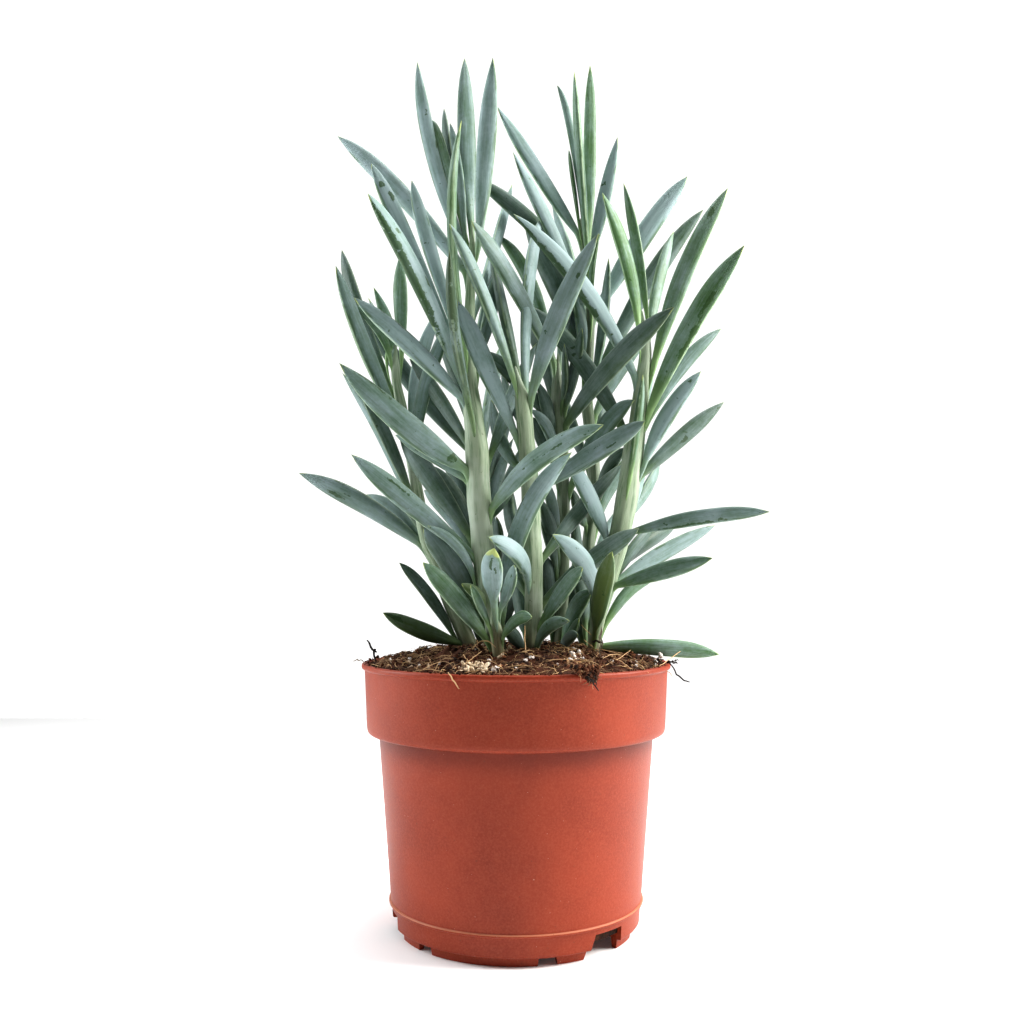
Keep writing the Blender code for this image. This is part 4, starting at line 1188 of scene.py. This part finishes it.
# Finer crumbs sit all over each lump, and more lie loose between them.
whose = np.repeat(np.arange(LUMPS), PER_LUMP)
stuck = lumps[whose] + unit(RNG.normal(size=(len(whose), 3))) * (radius[whose, None] * 0.92)
stuck[:, 2] = np.maximum(stuck[:, 2], lumps[whose, 2])
centres = np.vstack((stuck, scatter(LOOSE, 57.6)))
sizes = np.exp(RNG.normal(-1.15, 0.32, (len(centres), 1))) * RNG.uniform(0.5, 1.5, (len(centres), 3))
tints = np.concatenate((lump_tints[whose] + RNG.uniform(-0.25, 0.35, len(whose)), RNG.uniform(0.0, 1.0, LOOSE)))
crumbs = blob_surface(centres, sizes, tints, 0.42, rings=3, sides=5)
make_piece("peat_crumbs", crumbs, SOIL)
print("peat lumps and crumbs:", LUMPS, len(centres))

# %% [markdown]
# A place on the soil that the photo shows is found by going back along the line of sight until it
# meets the soil. Perlite grains are white and bubbly, and wood chips are flat pale splinters.

# %% Perlite and chips
def on_soil(x, z):
    """Where the line of sight through front-view x and z meets the soil, nearest the camera."""
    depths = np.linspace(-57.0, 40.0, 400)
    points = placed(np.full(400, float(x)), np.full(400, float(z)), depths)
    inside = np.hypot(points[:, 0], points[:, 1]) < 57.0
    gap = points[:, 2] - soil_height(points[:, 0], points[:, 1])
    hit = np.flatnonzero(inside & (gap <= 0.0))
    return points[hit[0]] if len(hit) else points[np.argmax(inside)]


def litter_finish(name, dark, pale, scale, relief, rough=0.85):
    """Between a dark and a pale colour by each part's tint and by noise of one scale."""
    material, tree, shader = finish(name, Roughness=rough, Specular_IOR_Level=0.3)
    spots = noise(tree, place(tree), scale, 4.0, 0.65)
    level = calc(tree, "ADD", attribute(tree, "tint"), calc(tree, "MULTIPLY_ADD", spots, 0.9, -0.45))
    tree.links.new(mix(tree, rise(tree, level, 0.0, 1.0), dark, pale), shader.inputs["Base Color"])
    tree.links.new(bump(tree, spots, relief, 0.8), shader.inputs["Normal"])
    return material


PERLITE = litter_finish("perlite", (0.45, 0.37, 0.31, 1.0), (0.86, 0.80, 0.76, 1.0), 1400.0, 0.0006)
WOOD = litter_finish("pale_wood", (0.18, 0.09, 0.045, 1.0), (0.84, 0.69, 0.50, 1.0), 800.0, 0.0004)
SEEN_GRAINS = (
    (23.5, 107.1, 1.7), (22.0, 105.6, 1.5), (25.1, 105.3, 1.5), (23.6, 103.6, 1.4), (21.3, 102.9, 1.1),
    (25.8, 103.4, 1.2), (5.1, 103.6, 1.3), (6.6, 104.0, 0.9), (3.6, 103.2, 0.8), (-8.3, 99.4, 1.2),
    (-7.1, 100.1, 0.9), (-9.4, 100.0, 0.8), (54.5, 102.4, 1.2), (55.3, 100.9, 1.0), (56.9, 104.2, 1.0),
    (-49.1, 103.2, 1.1), (-48.0, 102.6, 0.7), (-10.6, 103.2, 0.8), (16.0, 101.2, 0.7),
    (-30.0, 101.5, 0.8), (38.0, 102.5, 0.8), (-38.0, 101.0, 0.7), (47.0, 100.9, 0.7),
)
centres = np.vstack([on_soil(x, z) for x, z, _ in SEEN_GRAINS] + [scatter(26, 55.0)])
size = np.concatenate(([0.9 * row[2] for row in SEEN_GRAINS], RNG.uniform(0.4, 0.9, 26)))
centres[:, 2] += 0.5 * size
# Each grain is three bubbly blobs that run into each other.
centres = np.repeat(centres, 3, axis=0) + RNG.normal(0.0, 0.36, (3 * len(size), 3)) * np.repeat(size, 3)[:, None]
size = np.repeat(size, 3) * RNG.uniform(0.45, 0.85, 3 * len(size))
sizes = size[:, None] * RNG.uniform(0.6, 1.2, (len(size), 3))
perlite = blob_surface(centres, sizes, RNG.uniform(0.3, 1.0, len(size)), 0.32, rings=6, sides=9)
make_piece("perlite_grains", perlite, PERLITE)

# Splinters: a pale heap just behind the rim on the left, a slanting piece behind it, and a few more.
heap = np.stack((RNG.uniform(-22.6, -11.2, 60), RNG.uniform(98.4, 101.4, 60)), axis=1)
slant = np.linspace((-6.4, 104.2), (-2.2, 108.4), 7)
strays = RNG.uniform((-50.0, 99.5), (50.0, 104.0), (16, 2))
seen = np.vstack((heap, slant, strays))
centres = np.vstack([on_soil(x, z) for x, z in seen] + [scatter(40, 55.0)])
centres[:, 2] += RNG.uniform(0.2, 1.1, len(centres))
size = np.concatenate((RNG.uniform(0.6, 1.5, 60), np.full(7, 1.2), RNG.uniform(0.6, 1.6, 56)))
sizes = size[:, None] * np.array((1.0, 0.34, 0.20)) * RNG.uniform(0.8, 1.3, (len(size), 3))
tints = np.concatenate((RNG.uniform(0.55, 1.15, 67), RNG.uniform(0.0, 0.7, 56)))
chips = blob_surface(centres, sizes, tints, 0.28, rings=5, sides=8, boxy=0.75)
make_piece("wood_chips", chips, WOOD)
print("perlite grains and wood chips made")

# %% [markdown]
# Straw fibres and fine roots are thin tubes. Each follows a parabola that starts and ends on the soil
# and bows up between, and the ones that stand out in the photo are placed one by one.

# %% Fibres and roots
def fibre_surface(starts, bends, ends, radii, tints, rings=8, sides=4, wave=0.0):
    """A parabola through start, bend and end with a sine wave across it, and rings of the radius.

    The radius is less at both ends.
    """
    count = len(starts)
    t = np.linspace(0.0, 1.0, rings)[None, :, None]
    path = starts[:, None] * (1 - t) ** 2 + bends[:, None] * 2 * t * (1 - t) + ends[:, None] * t**2
    phase = RNG.uniform(0.0, 6.28, (count, 1, 3))
    path = path + wave * np.sin(np.array((13.0, 9.0, 17.0)) * t + phase) * np.sin(np.pi * t)
    way = unit(np.gradient(path, axis=1))
    side = unit(np.cross(way, unit(RNG.normal(size=(count, 1, 3)))))
    other = np.cross(way, side)
    angle = np.linspace(0.0, 2.0 * np.pi, sides, endpoint=False)
    thin = 0.45 + 0.55 * np.sin(np.pi * t[..., None]) ** 0.5
    grid = path[:, :, None] + radii[:, None, None, None] * thin * (
        side[:, :, None] * np.cos(angle)[:, None] + other[:, :, None] * np.sin(angle)[:, None]
    )
    each = rings * sides + 2
    points = np.concatenate((grid.reshape(count, -1, 3), starts[:, None], ends[:, None]), axis=1)
    quads, fans = tube_faces(rings, sides)
    move = (np.arange(count) * each)[:, None, None]
    numbers = {
        "tint": np.repeat(tints, each),
        "seed": np.repeat(RNG.uniform(0.0, 40.0, count), each),
    }
    quads = (quads[None] + move).reshape(-1, 4)
    fans = (fans[None] + move).reshape(-1, 3)
    return points.reshape(-1, 3) * MM, quads, fans, numbers


STRAW = litter_finish("straw", (0.10, 0.045, 0.022, 1.0), (0.64, 0.42, 0.22, 1.0), 500.0, 0.0002, 0.7)
ROOT = litter_finish("dark_root", (0.018, 0.014, 0.012, 1.0), (0.20, 0.16, 0.12, 1.0), 500.0, 0.0002)
count = 1600
starts = scatter(count, 57.2)
angle = RNG.uniform(0.0, 2.0 * np.pi, count)
length = RNG.uniform(2.0, 6.0, count) * RNG.choice((1.0, 1.0, 2.4), count)
ends = starts + np.stack((length * np.cos(angle), length * np.sin(angle), np.zeros(count)), axis=1)
pull = np.minimum(56.5 / np.maximum(np.hypot(ends[:, 0], ends[:, 1]), 1.0), 1.0)
ends[:, :2] *= pull[:, None]
ends[:, 2] = soil_height(ends[:, 0], ends[:, 1]) + RNG.uniform(0.0, 0.8, count)
starts[:, 2] += RNG.uniform(0.0, 0.6, count)
bends = 0.5 * (starts + ends) + RNG.normal(0.0, 1.0, (count, 3)) * np.array((1.6, 1.6, 0.6))
bends[:, 2] += RNG.uniform(0.2, 2.6, count)
radii = RNG.uniform(0.05, 0.16, count)
fibres = fibre_surface(starts, bends, ends, radii, RNG.uniform(0.0, 1.0, count) ** 1.4, wave=0.15)
make_piece("straw_fibres", fibres, STRAW)

# Each row is a start, a bend and an end as front-view x, z and depth, then a radius and a tint.
SEEN_STRAWS = (
    ((-26.7, 98.7, -55.0), (-24.9, 96.0, -57.2), (-22.4, 92.2, -57.2), 0.25, 0.9),
    ((3.5, 117.0, -34), (3.2, 112.0, -36), (3.9, 106.0, -38), 0.20, 0.9),
    ((31.0, 100.2, -44), (39.0, 102.5, -34), (45.0, 107.5, -22), 0.15, 0.8),
    ((56.0, 101.0, -24), (59.0, 103.0, -20), (64.5, 107.0, -12), 0.16, 0.8),
    ((40.2, 103.6, -38), (43.0, 102.0, -38), (45.5, 99.5, -38), 0.15, 0.9),
    ((47.0, 102.5, -30), (50.0, 101.0, -34), (52.0, 98.5, -38), 0.14, 0.9),
    ((-17.0, 108.0, -30), (-13.0, 114.0, -28), (-8.0, 108.5, -32), 0.16, 0.9),
    ((-20.5, 101.5, -44), (-17.0, 104.5, -42), (-13.5, 107.0, -40), 0.15, 0.9),
    ((-54.0, 102.5, -10), (-46.0, 105.0, -20), (-40.0, 102.0, -30), 0.16, 0.5),
    ((-57.0, 102.0, -16), (-52.0, 101.0, -24), (-47.5, 98.8, -34), 0.16, 0.7),
    ((12.0, 103.0, -46), (19.0, 105.0, -44), (27.0, 102.0, -46), 0.15, 0.8),
    ((-6.0, 100.0, -50), (1.0, 102.5, -48), (9.0, 100.5, -50), 0.14, 0.7),
    ((26.6, 111.5, -24), (28.5, 110.0, -26), (30.5, 108.5, -28), 0.14, 0.9),
    ((25.5, 117.5, -20), (27.5, 115.0, -22), (29.5, 113.5, -24), 0.12, 0.8),
    ((20.0, 99.5, -50), (17.0, 98.8, -52), (13.5, 97.6, -56), 0.14, 0.7),
    ((34.0, 104.0, -40), (37.0, 106.5, -36), (41.0, 105.5, -34), 0.14, 0.8),
    ((57.0, 100.0, -18), (60.0, 99.5, -22), (61.5, 97.0, -24), 0.14, 0.9),
)
SEEN_ROOTS = (
    ((33.4, 116.5, -20), (33.9, 111.0, -20), (33.2, 105.5, -20), 0.22, 0.6),
    ((33.4, 116.2, -34), (32.6, 110.5, -36), (33.0, 104.5, -38), 0.18, 0.5),
    ((-58.6, 111.4, -10), (-56.2, 109.0, -12), (-55.0, 102.8, -14), 0.42, 0.0),
    ((-57.4, 108.6, -11), (-56.0, 107.8, -12), (-54.6, 106.6, -13), 0.36, 0.0),
    ((60.0, 103.4, -8), (63.5, 95.5, -14), (68.2, 94.9, -16), 0.30, 0.0),
    ((59.5, 103.2, -10), (61.5, 103.0, -10), (63.4, 102.2, -10), 0.34, 0.0),
    ((61.0, 102.8, -10), (62.5, 103.8, -9), (63.8, 103.4, -9), 0.20, 0.2),
    ((-64.0, 103.0, -2), (-62.0, 104.6, -8), (-59.0, 102.2, -12), 0.20, 0.9),
    ((29.8, 110.6, -12), (32.0, 111.4, -12), (34.2, 110.2, -14), 0.40, 0.3),
    ((28.0, 97.4, -57.6), (30.2, 94.8, -57.6), (32.4, 91.4, -57.6), 0.24, 0.0),
    ((27.0, 98.0, -57.6), (28.6, 94.8, -57.8), (31.0, 95.6, -57.8), 0.24, 0.1),
    ((30.6, 98.0, -57.2), (31.6, 95.8, -57.4), (31.4, 93.6, -57.4), 0.18, 0.1),
)


def seen_fibres(rows, wave):
    """The fibres of a table, moved from front-view readings to their places."""
    parts = [np.array([placed(*row[k]) for row in rows]) for k in range(3)]
    radii, tints = np.array([row[3] for row in rows]), np.array([row[4] for row in rows])
    return fibre_surface(*parts, radii, tints, rings=18, sides=8, wave=wave)


make_piece("long_straws", seen_fibres(SEEN_STRAWS, 0.10), STRAW)
make_piece("fine_roots", seen_fibres(SEEN_ROOTS, 0.35), ROOT)

# A clump of peat hangs over the rim a little to the right of the middle, and narrows downwards.
count = 420
fall = RNG.uniform(0.0, 1.0, count) ** 1.2
x = 26.6 + 3.6 * fall + RNG.uniform(-1.0, 1.0, count) * (5.4 * (1.0 - fall) + 0.9)
z = 101.2 - 6.2 * fall
out = np.sqrt(61.4**2 - (0.86 * x) ** 2) + RNG.uniform(-1.6, 0.9, count)
centres = placed(x, z, -out)
sizes = np.exp(RNG.normal(-0.75, 0.30, (count, 1))) * RNG.uniform(0.6, 1.3, (count, 3))
clump = blob_surface(centres, sizes, RNG.uniform(0.0, 0.9, count), 0.38, rings=4, sides=6)
make_piece("peat_clump", clump, SOIL)

# Short fibres stick out of the clump, and crumbs lie on the lip all the way round.
count = 90
starts = centres[RNG.integers(0, len(centres), count)]
ends = starts + RNG.normal(0.0, 1.0, (count, 3)) * np.array((1.6, 0.5, 1.5))
bends = 0.5 * (starts + ends) + RNG.normal(0.0, 0.6, (count, 3)) * np.array((1.0, 0.5, 1.0))
tints = RNG.uniform(0.0, 0.9, count)
make_piece("clump_fibres", fibre_surface(starts, bends, ends, RNG.uniform(0.06, 0.15, count), tints), STRAW)
count = 260
angle = RNG.uniform(0.0, 2.0 * np.pi, count)
radius = RNG.uniform(57.4, 59.4, count)
centres = np.stack((radius * np.cos(angle), radius * np.sin(angle), RNG.uniform(102.9, 103.4, count)), axis=1)
sizes = np.exp(RNG.normal(-1.2, 0.35, (count, 1))) * RNG.uniform(0.6, 1.4, (count, 3))
lip_crumbs = blob_surface(centres, sizes, RNG.uniform(0.0, 0.8, count), 0.4, rings=3, sides=5)
make_piece("rim_crumbs", lip_crumbs, SOIL)
print("fibres, roots and clump made")
